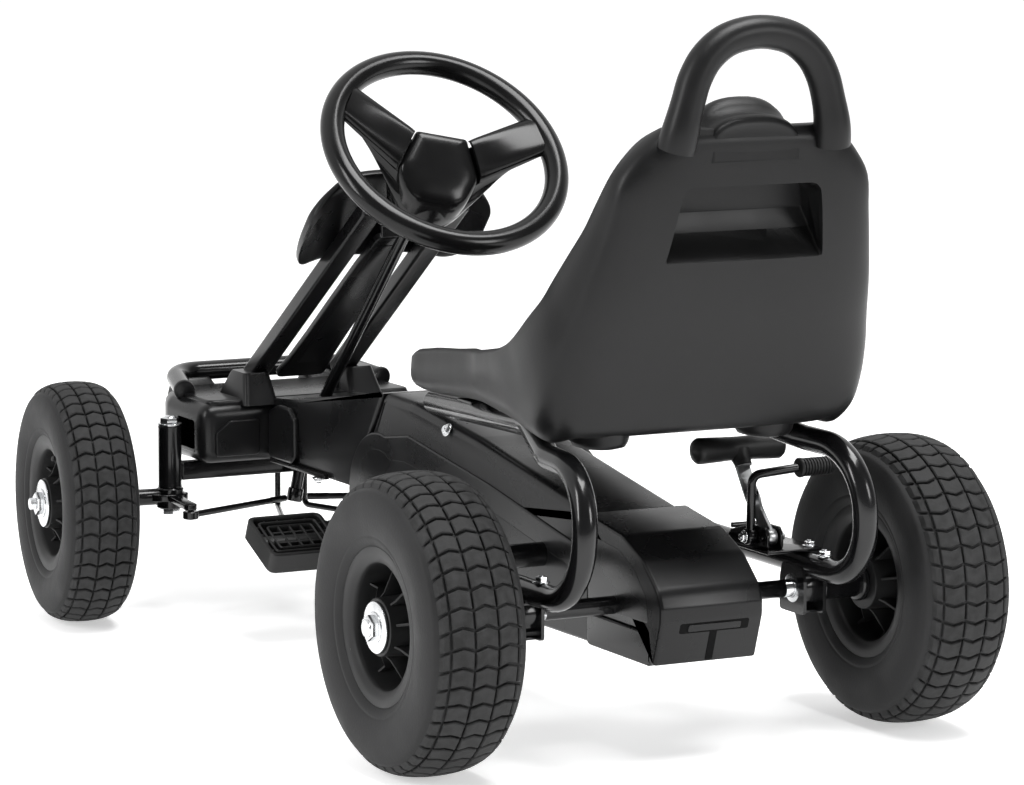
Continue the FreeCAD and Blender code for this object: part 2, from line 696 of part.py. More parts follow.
def tail_cover():
    outer = [(-50, 203), (14, 194), (50, 178), (78, 154), (84, 140), (84, 128), (71, 88),
             (64, 88), (68, 116), (-50, 116)]
    inner = [(-60, 200), (13, 191), (48, 175), (75, 152), (81, 139), (81, 128), (76, 112),
             (-60, 112)]
    shell = padded("tail_block", "YZ_Plane", outer, "2 * dims.tail_half")
    void = padded("tail_void", "YZ_Plane", inner, "2 * (dims.tail_half - dims.shell_wall)")
    axle = cylinder("tail_axle_hole", 13, 140, (-70, 0, "dims.axle_z"), (1, 0, 0))
    node(cut("tail_cut", shell, fuse("tail_tools", [void, axle])), "tail_cover")
    tray = [(-50.5, 86), (60, 86), (63.5, 115.5), (-50.5, 115.5)]
    well = [(-60, 89), (57, 89), (60, 118), (-60, 118)]
    pan = padded("pan_block", "YZ_Plane", tray, "2 * dims.tail_half - 1")
    pan_void = padded("pan_void", "YZ_Plane", well, "2 * (dims.tail_half - dims.shell_wall)")
    node(cut("pan_cut", pan, pan_void), "lower_pan")


# ---------------------------------------------------------------- drive

def toothed_wheel(name, radius, x, y, z, bore, teeth):
    disc = cylinder(name + "_disc", radius, 3, (0, 0, 0), (1, 0, 0))
    gaps = []
    for index in range(teeth):
        angle = 2 * math.pi * (index + 0.5) / teeth
        gap = cylinder("%s_gap%d" % (name, index), 3.6, 9,
                       (-3, "(%s + 1) * %f" % (radius, math.cos(angle)),
                        "(%s + 1) * %f" % (radius, math.sin(angle))), (1, 0, 0))
        gaps.append(gap)
    gaps.append(cylinder(name + "_bore", bore, 9, (-3, 0, 0), (1, 0, 0)))
    result = cut(name, disc, fuse(name + "_gaps", gaps))
    return node(result, name, (x, y, z), Rotation())


def chain():
    """Closed band of the chain round both sprockets, its plates left to detail."""
    span = Vector(0, dim("crank_y"), dim("axle_z") - dim("crank_z"))
    along = Vector(span).normalize()
    upward = Vector(1, 0, 0).cross(along)
    start = Vector(-dim("chain_x") - dim("chain_wide") / 2, -dim("crank_y"), dim("crank_z"))
    lean = math.asin((dim("chainring_radius") - dim("sprocket_radius")) / span.Length)

    def spot(distance, height):
        return start + along * distance + upward * height

    def loop(front, rear):
        sine, cosine = math.sin(lean), math.cos(lean)
        front_high = spot(front * sine, front * cosine)
        rear_high = spot(span.Length + rear * sine, rear * cosine)
        rear_low = spot(span.Length + rear * sine, -rear * cosine)
        front_low = spot(front * sine, -front * cosine)
        edges = [Part.LineSegment(front_high, rear_high).toShape(),
                 Part.Arc(rear_high, spot(span.Length + rear, 0), rear_low).toShape(),
                 Part.LineSegment(rear_low, front_low).toShape(),
                 Part.Arc(front_low, spot(-front, 0), front_high).toShape()]
        return Part.Face(Part.Wire(edges))

    outer = loop(dim("chainring_radius") + dim("chain_tall"),
                 dim("sprocket_radius") + dim("chain_tall"))
    inner = loop(dim("chainring_radius") + 0.5, dim("sprocket_radius") + 0.5)
    feature = doc.addObject("Part::Feature", "chain_band")
    feature.Shape = outer.cut(inner).extrude(Vector(dim("chain_wide"), 0, 0))
    node(feature, "chain")


def pedal_point(sign):
    angle = math.radians(180 + CRANK_REST)
    reach = dim("crank_length") * sign
    return Vector(0, reach * math.cos(angle), reach * math.sin(angle))


def drive():
    toothed_wheel("chainring", "dims.chainring_radius", "-dims.chain_x - 1.5",
                  "-dims.crank_y", "dims.crank_z", "dims.crank_radius + 0.02", 18)
    toothed_wheel("driven_sprocket", "dims.sprocket_radius", "-dims.chain_x - 1.5", 0,
                  "dims.axle_z", "dims.rear_axle_radius + 0.02", 14)
    chain()
    parts = [cylinder("crank_axle", "dims.crank_radius", 98, (-49, 0, 0), (1, 0, 0))]
    for sign in (1, -1):
        tag = str(sign + 1)
        point = pedal_point(sign)
        arm = doc.addObject("Part::Box", "crank_arm_" + tag)
        bind(arm, Length=6, Width="dims.crank_length", Height=16)
        angle = math.degrees(math.atan2(point.z, point.y))
        spin = Rotation(Vector(1, 0, 0), angle)
        corner = spin.multVec(Vector(0, 0, -8))
        put(arm, (sign * 50 - 3, corner.y, corner.z), spin)
        boss = cylinder("crank_boss_" + tag, 11, 6, (sign * 50 - 3, 0, 0), (1, 0, 0))
        eye = cylinder("crank_eye_" + tag, 9, 6, (sign * 50 - 3, point.y, point.z), (1, 0, 0))
        spindle = cylinder("spindle_" + tag, "dims.spindle_radius", "dims.pedal_length + 4",
                           (sign * 50, point.y, point.z), (sign, 0, 0))
        parts += [arm, boss, eye, spindle]
    node(fuse("crank_solid", parts), "crank", (0, "-dims.crank_y", "dims.crank_z"),
         Rotation())
    for side, sign in (("left", 1), ("right", -1)):
        point = pedal_point(sign)
        block = padded("pedal_block_" + side, "YZ_Plane", pedal_profile(), "dims.pedal_length")
        hole = cylinder("pedal_hole_" + side, "dims.spindle_radius + dims.running_gap", 200,
                        (-100, 0, 0), (1, 0, 0))
        node(cut("pedal_cut_" + side, block, hole), "pedal_" + side,
             ("%d * dims.pedal_x" % sign, "-dims.crank_y + %f" % point.y,
              "dims.crank_z + %f" % point.z), Rotation(Vector(1, 0, 0), PEDAL_TILT))


def pedal_profile():
    deep = "dims.pedal_deep / 2"
    tall = "dims.pedal_tall / 2"
    return [("-" + deep, tall + " - 7"), ("6 - " + deep, tall), (deep + " - 6", tall),
            (deep, tall + " - 7"), (deep + " - 12", "-" + tall), ("12 - " + deep, "-" + tall)]


# ---------------------------------------------------------------- steering wheel

def wheel_frame():
    """Turn from the wheel's own frame (axis along Z, +X left, +Y down) to the kart."""
    return Rotation(SHAFT_AXIS, WHEEL_REST).multiply(Rotation(Vector(1, 0, 0), -45))


SPOKE_RISE = 23.9          # degrees that each spoke rises from the hub at straight ahead


def steering():
    at = (0, "-dims.steer_y", "dims.steer_z")
    turn = wheel_frame()
    ring = doc.addObject("Part::Torus", "ring")
    bind(ring, Radius1="dims.wheel_ring_radius", Radius2="dims.wheel_ring_tube")
    node(ring, "steering_ring", at, turn)
    parts = [cylinder("wheel_boss", 20, 34, (0, 0, -36))]
    for sign in (1, -1):
        spoke = doc.addObject("Part::Box", "spoke_%d" % (sign + 1))
        bind(spoke, Length="dims.wheel_ring_radius - 10", Width=34, Height=12)
        spin = Rotation(Vector(0, 0, 1), 180 + SPOKE_RISE if sign < 0 else -SPOKE_RISE)
        corner = spin.multVec(Vector(0, -17, -12))
        put(spoke, (corner.x, corner.y, corner.z), spin)
        parts.append(spoke)
    body = fuse("spoke_solid", parts)
    gap = doc.addObject("Part::Torus", "ring_gap")
    bind(gap, Radius1="dims.wheel_ring_radius", Radius2="dims.wheel_ring_tube + 0.05")
    bore = cylinder("boss_bore", "dims.shaft_radius + 0.02", 30, (0, 0, -38))
    node(cut("spoke_cut", body, fuse("spoke_tools", [gap, bore])), "steering_spokes", at, turn)
    pad = padded("pad_block", "XY_Plane", [(-44, -30), (44, -30), (54, -2), (26, 46),
                                           (-26, 46), (-54, -2)], 10)
    node(pad, "steering_pad", ("0", "-dims.steer_y + 3.75", "dims.steer_z + 3.75"), turn)


def steering_shaft():
    foot = Vector(0, -dim("steer_y"), dim("steer_z"))
    turn = Rotation(SHAFT_AXIS, WHEEL_REST)
    depth = dim("steer_z") - dim("elbow_z")
    start = foot - SHAFT_AXIS * 12
    elbow = foot + Vector(0, -depth, -depth)
    end = Vector(elbow.x, elbow.y, dim("crank_drop"))
    rod = bent_tube("shaft_rod", [start, elbow, end], [8], 2 * dim("shaft_radius"))
    block = doc.addObject("Part::Cylinder", "shaft_block")
    block.Radius = 8
    block.Height = 14
    block.Placement.Base = end - Vector(0, 0, 2)
    solid = fuse("shaft_solid", [rod, block])
    pivot = foot - turn.multVec(foot)
    node(solid, "steering_shaft", (pivot.x, pivot.y, pivot.z), turn)


# ---------------------------------------------------------------- levers

BRAKE_Y = -6               # pivot of the brake lever, between the plate's two tabs
GEAR_Y = -18               # pivot of the gear lever, inside the inner tab


def lever_plate():
    base = box("lever_base", (56, 90, 3), (-125, -33, 164.9))
    parts = [base]
    for x in (-103, -117):
        parts.append(box("lever_tab_%d" % -x, (3, 74, 20), (x, -33, 176)))
    parts.append(cylinder("brake_pin", 3, 20, (-120, BRAKE_Y, "dims.lever_z"), (1, 0, 0)))
    parts.append(cylinder("gear_pin", 3, 17, (-105, GEAR_Y, "dims.lever_z"), (1, 0, 0)))
    node(fuse("lever_plate_solid", parts), "lever_plate")


def brake_lever():
    hub = cylinder("brake_hub", 7.5, 9, (-114.5, BRAKE_Y, "dims.lever_z"), (1, 0, 0))
    pin_hole = cylinder("brake_hole", "3 + dims.running_gap", 30,
                        (-125, BRAKE_Y, "dims.lever_z"), (1, 0, 0))
    low = Vector(-110, -8, 179)
    high = Vector(-110, -58, 236)
    blade = bar_between("brake_blade", low, high, 4, 14)
    node(cut("brake_cut", fuse("brake_solid", [hub, blade]), pin_hole), "brake_lever")
    grip = cylinder("brake_grip_bar", 12, 95, (-157.5, -63, 248), (1, 0, 0))
    socket = cylinder("brake_grip_socket", 9, 20, (-110, -54, 237), (0, -0.6, 0.8))
    slot = bar_between("brake_grip_slot", low, high, 4.1, 14.1)
    node(cut("brake_grip_cut", fuse("brake_grip_solid", [grip, socket]), slot), "brake_grip")


def gear_lever():
    corners = [(-97, GEAR_Y, 176), (-97, -16, 231), (-141, -12, 235)]
    rod = bent_tube("gear_rod", corners, [9], 8)
    hub = cylinder("gear_hub", 7.5, 9, (-101.3, GEAR_Y, "dims.lever_z"), (1, 0, 0))
    pin_hole = cylinder("gear_hole", "3 + dims.running_gap", 30,
                        (-110, GEAR_Y, "dims.lever_z"), (1, 0, 0))
    node(cut("gear_cut", fuse("gear_solid", [rod, hub]), pin_hole), "gear_lever")
    grip = cylinder("gear_grip_bar", 9, 34, (-141.6, -12, 235), (-1, 0, 0))
    node(grip, "gear_grip")


# ---------------------------------------------------------------- seat

SEAT_STATIONS = [
    # underside or back (y, z), rim (y, z), half width
    ((-252, 300), (-246, 326), 120), ((-200, 293), (-196, 333), 125),
    ((-110, 297), (-108, 340), 136), ((-40, 299), (-62, 347), 147),
    ((40, 293), (-14, 356), 155.5), ((67, 293), (18, 372), 158),
    ((84, 326), (48, 397), 156), ((104, 370), (66, 424), 147.5),
    ((118, 402), (80, 446), 141), ((139, 470), (104, 491), 127),
    ((145, 503), (116, 516), 121.5), ((148.5, 530), (118, 533), 108),
    ((149.5, 554), (127, 555), 84),
]


def seat_section(low, high, half, wall):
    """A channel across the kart: floor or back with a wing each side."""
    base = Vector(0, *low)
    rim = Vector(0, *high)
    rise = rim - base
    inward = min(wall / rise.Length, 0.45)

    def at(x, share):
        point = base + rise * share
        return Vector(x, point.y, point.z)

    right = [at(half * 0.8, 0), at(half, 0.25), at(half, 1), at(half - wall, 1),
             at(half - wall, max(0.3, inward + 0.05)), at(half * 0.8 - wall / 2, inward)]
    left = [Vector(-p.x, p.y, p.z) for p in reversed(right)]
    return Part.makePolygon(right + left + [right[0]])


BACK_LEAN = 11.3           # degrees that the backrest leans rearwards


def tilted_box(name, size, centre, turn):
    solid = doc.addObject("Part::Box", name)
    bind(solid, Length=size[0], Width=size[1], Height=size[2])
    corner = centre - turn.multVec(Vector(*size) / 2)
    return put(solid, (corner.x, corner.y, corner.z), turn)


def seat():
    wall = dim("seat_wall")
    rings = [seat_section(low, high, half, wall) for low, high, half in SEAT_STATIONS]
    shell = doc.addObject("Part::Feature", "seat_loft")
    shell.Shape = Part.makeLoft(rings, True, True)
    handle = bent_tube("seat_handle_bar", [(66, 139, 540), (60, 152, 634), (-60, 152, 634),
                                           (-66, 139, 540)], [55, 55], 28)
    lean = Rotation(Vector(1, 0, 0), -BACK_LEAN)
    pad = tilted_box("seat_pad", (168, 38, 88), Vector(0, 118.5, 470), lean)
    pocket = tilted_box("seat_pocket", (142, 36, 62), Vector(0, 124.5, 472), lean)
    hump = box("seat_hump", (88, 34, 32), (0, 128, 562))
    solid = fuse("seat_solid", [shell, handle, pad, hump])
    node(cut("seat_cut", solid, pocket), "seat_shell")
    straps = [box("seat_strap_front", (200, 28, 3), (0, -190, 287.8)),
              box("seat_strap_rear", (250, 28, 2), (0, -62, 296.4))]
    node(group("straps", straps), "seat_straps")


def fasteners():
    """Hexagon bolts through the hoops' lower legs."""
    bolts = []
    spots = [(141, 36), (-141, 36), (141, -60), (-141, -110)]
    for index, (x, y) in enumerate(spots):
        bolts.append(hexagon("bolt_%d" % index, 6, 5, (x, y, "dims.hoop_low_z + 11.1")))
    node(group("bolts", bolts), "frame_bolts")


def build():
    rear_wheels()
    front_corner("left", 1)
    front_corner("right", -1)
    front_beam()
    main_frame()
    hoop("left", 1)
    hoop("right", -1)
    axle_supports()
    bottom_bracket()
    column()
    steering_bushes()
    shield()
    bumper()
    guard()
    nose()
    chain_cover()
    tail_cover()
    drive()
    steering()
    steering_shaft()
    lever_plate()
    brake_lever()
    gear_lever()
    seat()
    fasteners()


def check_and_write():
    doc.recompute()
    failed = [obj.Name for obj in doc.Objects
              if "Invalid" in obj.State or "Error" in obj.State]
    if failed:
        raise RuntimeError("failed objects: %s" % ", ".join(failed))
    os.makedirs("parts", exist_ok=True)
    for obj in nodes:
        if obj.Shape.isNull() or not obj.Shape.isValid():
            raise RuntimeError("%s has no valid shape" % obj.Label)
        obj.Shape.exportStep("parts/%s.step" % obj.Label)
        limits = obj.Shape.BoundBox
        print("%-24s %2d solids %9.0f mm3  x %6.1f %6.1f  y %6.1f %6.1f  z %6.1f %6.1f" % (
            obj.Label, len(obj.Shape.Solids), obj.Shape.Volume, limits.XMin, limits.XMax,
            limits.YMin, limits.YMax, limits.ZMin, limits.ZMax))


build()
check_and_write()
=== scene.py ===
import math

import bmesh
import bpy
from mathutils import Matrix, Vector


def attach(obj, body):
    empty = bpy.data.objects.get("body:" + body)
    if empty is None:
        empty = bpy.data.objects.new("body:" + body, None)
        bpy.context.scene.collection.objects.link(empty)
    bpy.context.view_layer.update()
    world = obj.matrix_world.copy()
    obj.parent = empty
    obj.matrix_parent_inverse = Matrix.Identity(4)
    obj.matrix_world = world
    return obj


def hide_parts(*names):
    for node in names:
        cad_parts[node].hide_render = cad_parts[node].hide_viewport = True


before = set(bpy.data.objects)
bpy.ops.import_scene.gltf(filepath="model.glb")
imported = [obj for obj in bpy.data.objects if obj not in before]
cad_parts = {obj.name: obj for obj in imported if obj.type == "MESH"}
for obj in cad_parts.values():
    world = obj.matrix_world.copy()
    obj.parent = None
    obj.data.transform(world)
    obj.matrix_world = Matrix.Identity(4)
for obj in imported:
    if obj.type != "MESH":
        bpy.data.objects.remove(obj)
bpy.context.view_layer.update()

# The looks of a pedal go kart. Shapes are laid out in millimetres in the kart's own frame,
# whose origin is on the floor below the rear axle: x left, y to the rear, z up. AXLE_Y moves
# them along y to the shared frame when a mesh is made.

AXLE_Y = 361.9

STEER_REST = -6.9           # degrees that the front wheels stand turned at rest
WHEEL_REST = -15.5          # the same for the steering wheel, about its shaft
CRANK_REST = 32.0           # degrees that the left crank arm hangs below forward
PEDAL_TILT = -24.0
REAR_WHEEL_X, AXLE_Z = 240, 130
REAR_TYRE, FRONT_TYRE = (93, 260, 66.3), (75, 240, 65.3)       # width, diameter, bead radius
KINGPIN_X, KINGPIN_Y, STUB_Z = 142.5, -757.4, 120
WHEEL_OFFSET = 97.2         # from the kingpin to the middle of the front wheel
BLACK_AXLE_SPAN = 120          # the rear axle is drawn black this far each side of its middle
CHAIN_X = -32
CRANK_Y, CRANK_Z, CRANK_LENGTH = -483, 148, 91
SHAFT_AXIS = Vector((0, math.sqrt(0.5), math.sqrt(0.5)))
SHAFT_HEAD = Vector((0, -426, 488))
CRANK_BLOCK = Vector((0, -741, 108))        # foot of the steering shaft, wheels straight


# ---------------------------------------------------------------- materials

def new_material(name):
    """A node material, with its nodes, its links and its shader."""
    mat = bpy.data.materials.new(name)
    mat.use_nodes = True
    nodes = mat.node_tree.nodes
    return mat, nodes, mat.node_tree.links, nodes["Principled BSDF"]


def noise_node(nodes, links, scale, detail, stretch=None):
    """Noise fixed to the object, drawn out along an axis by stretch."""
    coords = nodes.new("ShaderNodeTexCoord")
    source = coords.outputs["Object"]
    if stretch:
        mapping = nodes.new("ShaderNodeMapping")
        mapping.inputs["Scale"].default_value = stretch
        links.new(source, mapping.inputs["Vector"])
        source = mapping.outputs["Vector"]
    tex = nodes.new("ShaderNodeTexNoise")
    tex.inputs["Scale"].default_value = scale
    tex.inputs["Detail"].default_value = detail
    links.new(source, tex.inputs["Vector"])
    return tex.outputs["Fac"]


def remap(nodes, links, source, low, high, start=0.3, end=0.7):
    """Take a value from start..end to low..high."""
    node = nodes.new("ShaderNodeMapRange")
    node.inputs["From Min"].default_value = start
    node.inputs["From Max"].default_value = end
    node.inputs["To Min"].default_value = low
    node.inputs["To Max"].default_value = high
    links.new(source, node.inputs["Value"])
    return node.outputs["Result"]


def blend_colors(nodes, links, factor, first, second):
    """Mix two colours by a factor."""
    mix = nodes.new("ShaderNodeMix")
    mix.data_type = "RGBA"
    links.new(factor, mix.inputs["Factor"])
    mix.inputs["A"].default_value = (*first, 1)
    mix.inputs["B"].default_value = (*second, 1)
    return mix.outputs["Result"]


def surface(name, dark, light, rough, bump, specular=0.35, metallic=0.0, coat=0.0,
            coat_rough=0.1, grain=900.0, mottle=18.0, stretch=None):
    """Two-tone mottled colour, mottled roughness and fine grain bump."""
    mat, nodes, links, shader = new_material(name)
    large = noise_node(nodes, links, mottle, 5.0, stretch)
    tone = remap(nodes, links, large, 0.0, 1.0, 0.35, 0.68)
    links.new(blend_colors(nodes, links, tone, dark, light), shader.inputs["Base Color"])
    links.new(remap(nodes, links, large, rough[0], rough[1]), shader.inputs["Roughness"])
    fine = noise_node(nodes, links, grain, 3.0, stretch)
    bumps = nodes.new("ShaderNodeBump")
    bumps.inputs["Strength"].default_value = bump
    bumps.inputs["Distance"].default_value = 0.0004
    links.new(fine, bumps.inputs["Height"])
    links.new(bumps.outputs["Normal"], shader.inputs["Normal"])
    shader.inputs["Specular IOR Level"].default_value = specular
    shader.inputs["Metallic"].default_value = metallic
    shader.inputs["Coat Weight"].default_value = coat
    shader.inputs["Coat Roughness"].default_value = coat_rough
    return mat


MATS = {
    "paint": surface("gloss_black_paint", (0.0035, 0.0035, 0.0038), (0.005, 0.005, 0.0055),
                     (0.16, 0.24), 0.05, 0.28, coat=0.25, coat_rough=0.06, grain=260),
    "body": surface("body_plastic", (0.004, 0.004, 0.0043), (0.006, 0.006, 0.0064),
                    (0.24, 0.33), 0.10, 0.26, grain=700),
    "seat": surface("seat_plastic", (0.005, 0.005, 0.0052), (0.0075, 0.0075, 0.0078),
                    (0.34, 0.44), 0.14, 0.22, grain=620),
    "wheel": surface("wheel_plastic", (0.003, 0.003, 0.0031), (0.0045, 0.0045, 0.0047),
                     (0.17, 0.24), 0.05, 0.28, grain=300),
    "rim": surface("rim_plastic", (0.006, 0.006, 0.0062), (0.010, 0.010, 0.0104),
                   (0.42, 0.56), 0.15, 0.30, grain=700),
    "grip": surface("grip_plastic", (0.006, 0.006, 0.0062), (0.011, 0.011, 0.011),
                    (0.38, 0.52), 0.25, 0.34, grain=800),
    # the "dark" material is painted shade: flat near-black standing in for the shade inside the
    # tail's sunk T
    "dark": surface("painted_recess_shade", (0.0010, 0.0010, 0.0011), (0.0016, 0.0016, 0.0017),
                    (0.55, 0.70), 0.10, 0.08, grain=700),
    "pedal": surface("pedal_plastic", (0.007, 0.007, 0.0072), (0.012, 0.012, 0.012),
                     (0.38, 0.52), 0.25, 0.36, grain=800),
    "tyre": surface("tyre_sidewall", (0.010, 0.010, 0.0103), (0.017, 0.017, 0.0175),
                    (0.55, 0.72), 0.5, 0.26, grain=420, mottle=30),
    "tread": surface("tyre_tread", (0.013, 0.013, 0.013), (0.030, 0.030, 0.0305),
                     (0.60, 0.80), 0.8, 0.24, grain=300, mottle=120),
    "tube": surface("inner_tube_rubber", (0.02, 0.02, 0.02), (0.03, 0.03, 0.03),
                    (0.6, 0.7), 0.3, 0.3),
    "zinc": surface("zinc_plate", (0.62, 0.63, 0.64), (0.80, 0.81, 0.82),
                    (0.14, 0.26), 0.12, 0.5, metallic=1.0, grain=240, mottle=60),
    "steel": surface("brake_steel", (0.33, 0.335, 0.34), (0.48, 0.485, 0.49),
                     (0.24, 0.38), 0.25, 0.5, metallic=1.0, grain=500, mottle=80,
                     stretch=(1, 1, 0.1)),
    "chain": surface("chain_steel", (0.10, 0.10, 0.105), (0.22, 0.22, 0.225),
                     (0.3, 0.5), 0.2, 0.5, metallic=1.0, grain=500),
}

# A CAD slot name for each material, which make() looks up where a piece names no other.
SLOTS = {
    "paint": "gloss_black_paint", "body": "body_plastic", "seat": "seat_plastic",
    "wheel": "wheel_plastic", "rim": "rim_plastic", "grip": "grip_plastic",
    "pedal": "pedal_plastic", "tyre": "tyre_rubber", "tube": "inner_tube_rubber",
    "zinc": "zinc_plate", "chain": "gloss_black_paint", "steel": "zinc_blade",
}


# ---------------------------------------------------------------- mesh helpers

class Build:
    """Collects vertices and faces, in millimetres, with a material index each."""

    def __init__(self):
        self.verts = []
        self.faces = []
        self.tags = []

    def add(self, verts, faces, tag=0, turn=None):
        start = len(self.verts)
        for v in verts:
            point = Vector(v)
            self.verts.append(turn @ point if turn else point)
        for face in faces:
            self.faces.append([start + i for i in face])
            self.tags.append(tag)
        return self

    def merge(self, other, turn=None):
        start = len(self.verts)
        self.verts += [turn @ v if turn else v.copy() for v in other.verts]
        self.faces += [[start + i for i in face] for face in other.faces]
        self.tags += other.tags
        return self


def finish_mesh(obj, sharp):
    """Face normals outward, smooth shading, and sharp edges above an angle."""
    mesh = obj.data
    work = bmesh.new()
    work.from_mesh(mesh)
    bmesh.ops.recalc_face_normals(work, faces=work.faces)
    work.to_mesh(mesh)
    work.free()
    mesh.polygons.foreach_set("use_smooth", [True] * len(mesh.polygons))
    mesh.set_sharp_from_angle(angle=math.radians(sharp))


def link(name, mesh):
    """A new object in the scene for a mesh."""
    obj = bpy.data.objects.new(name, mesh)
    bpy.context.scene.collection.objects.link(obj)
    return obj


def row_points(build):
    """A build's vertices in metres, in the row frame."""
    return [(v.x / 1000, (v.y + AXLE_Y) / 1000, v.z / 1000) for v in build.verts]


def make(name, build, mats, body="chassis", sharp=34, slot=None, node=True):
    """An object that rides its body and, unless node is False, stands for its CAD node."""
    mesh = bpy.data.meshes.new(name)
    mesh.from_pydata(row_points(build), [], build.faces)
    mesh.validate()
    mesh.update()
    obj = link(name, mesh)
    keys = [mats] if isinstance(mats, str) else mats
    for key in keys:
        mesh.materials.append(MATS[key])
    if len(mesh.polygons) == len(build.tags):
        mesh.polygons.foreach_set("material_index", build.tags)
    finish_mesh(obj, sharp)
    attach(obj, body)
    if node:
        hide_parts(name)
        slot = slot or SLOTS[keys[0]]
    return obj


def ring_faces(total, count, wrap=False):
    """Quads between neighbouring rings of points, and from the last to the first if wrapped."""
    return [(k * count + i, k * count + (i + 1) % count,
             (k + 1) % total * count + (i + 1) % count, (k + 1) % total * count + i)
            for k in range(total if wrap else total - 1) for i in range(count)]


def end_caps(total, count):
    """The two faces that close the first and the last ring."""
    return [list(range(count)), [(total - 1) * count + i for i in range(count)]]


def loft(rings):
    """A closed skin over rings that all have the same number of points."""
    total, count = len(rings), len(rings[0])
    return Build().add([p for ring in rings for p in ring],
                       ring_faces(total, count) + end_caps(total, count))


def lathe(profile, segments=64, closed=False):
    """Revolve (along, radius) points about X."""
    build = Build()
    count = len(profile)
    verts = []
    for step in range(segments):
        angle = 2 * math.pi * step / segments
        for along, radius in profile:
            verts.append((along, radius * math.cos(angle), radius * math.sin(angle)))
    faces = []
    spans = count if closed else count - 1
    for step in range(segments):
        base, after = step * count, ((step + 1) % segments) * count
        for i in range(spans):
            j = (i + 1) % count
            faces.append((base + i, base + j, after + j, after + i))
    if not closed:
        for end in (0, count - 1):
            if profile[end][1] > 0.01:
                faces.append([step * count + end for step in range(segments)])
    return build.add(verts, faces)


def along(start, direction):
    """Matrix that takes the X axis to a direction and the origin to a start point."""
    turn = Vector((1, 0, 0)).rotation_difference(Vector(direction).normalized())
    return Matrix.Translation(Vector(start)) @ turn.to_matrix().to_4x4()


def rod(start, end, radius, segments=32, soft=1.0):
    """A straight bar with rounded ends."""
    span = Vector(end) - Vector(start)
    length = span.length
    soft = min(soft, radius * 0.9)
    profile = [(0, radius - soft), (soft * 0.3, radius - soft * 0.3), (soft, radius),
               (length - soft, radius), (length - soft * 0.3, radius - soft * 0.3),
               (length, radius - soft)]
    return Build().merge(lathe(profile, segments), along(start, span))


def fillet(corners, radii, steps=8):
    """Round the corners of a 3-D path."""
    points = [Vector(corners[0])]
    for index in range(1, len(corners) - 1):
        corner = Vector(corners[index])
        before = (Vector(corners[index - 1]) - corner).normalized()
        after = (Vector(corners[index + 1]) - corner).normalized()
        half = (math.pi - before.angle(after)) / 2
        radius = radii[index - 1]
        reach = radius * math.tan(half)
        bisector = (before + after).normalized()
        centre = corner + bisector * (radius / math.cos(half))
        one = corner + before * reach - centre
        two = corner + after * reach - centre
        axis = one.cross(two).normalized()
        for step in range(steps + 1):
            turn = Matrix.Rotation(2 * half * step / steps, 3, axis)
            points.append(centre + turn @ one)
    points.append(Vector(corners[-1]))
    return points


def sweep(points, radius, sides=24, scale=None):
    """A round tube along points; scale gives a radius factor at each share."""
    total = len(points)
    lengths = [0.0]
    for i in range(1, total):
        lengths.append(lengths[-1] + (points[i] - points[i - 1]).length)
    tangents = []
    for i in range(total):
        ahead = points[min(i + 1, total - 1)] - points[max(i - 1, 0)]
        tangents.append(ahead.normalized())
    helper = Vector((0, 0, 1)) if abs(tangents[0].z) < 0.9 else Vector((1, 0, 0))
    side = tangents[0].cross(helper).normalized()
    verts = []
    for i in range(total):
        if i:
            side = (side - tangents[i] * side.dot(tangents[i])).normalized()
        up = tangents[i].cross(side)
        size = radius * (scale(lengths[i] / lengths[-1]) if scale else 1.0)
        for k in range(sides):
            a = 2 * math.pi * k / sides
            verts.append(points[i] + (side * math.cos(a) + up * math.sin(a)) * size)
    faces = ring_faces(total, sides) + end_caps(total, sides)
    return Build().add(verts, faces)


def tube(corners, radii, radius, sides=24, steps=8):
    """A bent tube through corners, each inner one rounded by its radius."""
    return sweep(fillet(corners, radii, steps), radius, sides)


def arc_outline(corners, radii, steps=5):
    """A closed 2-D outline with rounded corners."""
    total = len(corners)
    if not isinstance(radii, (list, tuple)):
        radii = [radii] * total
    result = []
    for i in range(total):
        corner = Vector(corners[i])
        before = Vector(corners[i - 1]) - corner
        after = Vector(corners[(i + 1) % total]) - corner
        one, two = before.normalized(), after.normalized()
        half = (math.pi - one.angle(two)) / 2
        reach = min(radii[i] * math.tan(half), before.length * 0.48, after.length * 0.48)
        if reach < 0.05:
            result.append(corner)
            continue
        for step in range(steps + 1):
            share = step / steps
            start, end = corner + one * reach, corner + two * reach
            result.append(start * (1 - share) ** 2 + corner * 2 * share * (1 - share)
                          + end * share ** 2)
    return result


def prism(outline, low, high, turn=None, rounding=0.0, steps=4):
    """Extrude a 2-D outline along Z; rounding softens both rims by an inset."""
    count = len(outline)
    rings = [(low, 0.0), (high, 0.0)]
    if rounding:
        angles = [math.pi / 2 * step / steps for step in range(steps, -1, -1)]
        rings = [(low + rounding * (1 - math.sin(a)), rounding * (1 - math.cos(a)))
                 for a in angles]
        rings += [(low + high - z, inset) for z, inset in reversed(rings)]
    verts = []
    for z, inset in rings:
        for i in range(count):
            p, q, r = outline[i - 1], outline[i], outline[(i + 1) % count]
            one, two = (q - p).normalized(), (r - q).normalized()
            normal = Vector((-(one.y + two.y), one.x + two.x))
            if normal.length < 1e-6:
                normal = Vector((-one.y, one.x))
            normal.normalize()
            stretch = 1 / max(0.5, normal.dot(Vector((-one.y, one.x))))
            moved = q + normal * inset * stretch
            verts.append((moved.x, moved.y, z))
    total = len(rings)
    faces = ring_faces(total, count) + end_caps(total, count)
    return Build().add(verts, faces, 0, turn)


def area2(outline):
    """Twice an outline's signed area."""
    return sum(outline[i - 1].x * outline[i].y - outline[i].x * outline[i - 1].y
               for i in range(len(outline)))


def ccw(points):
    """An outline that runs anticlockwise."""
    outline = [Vector(p) for p in points]
    return outline if area2(outline) > 0 else list(reversed(outline))


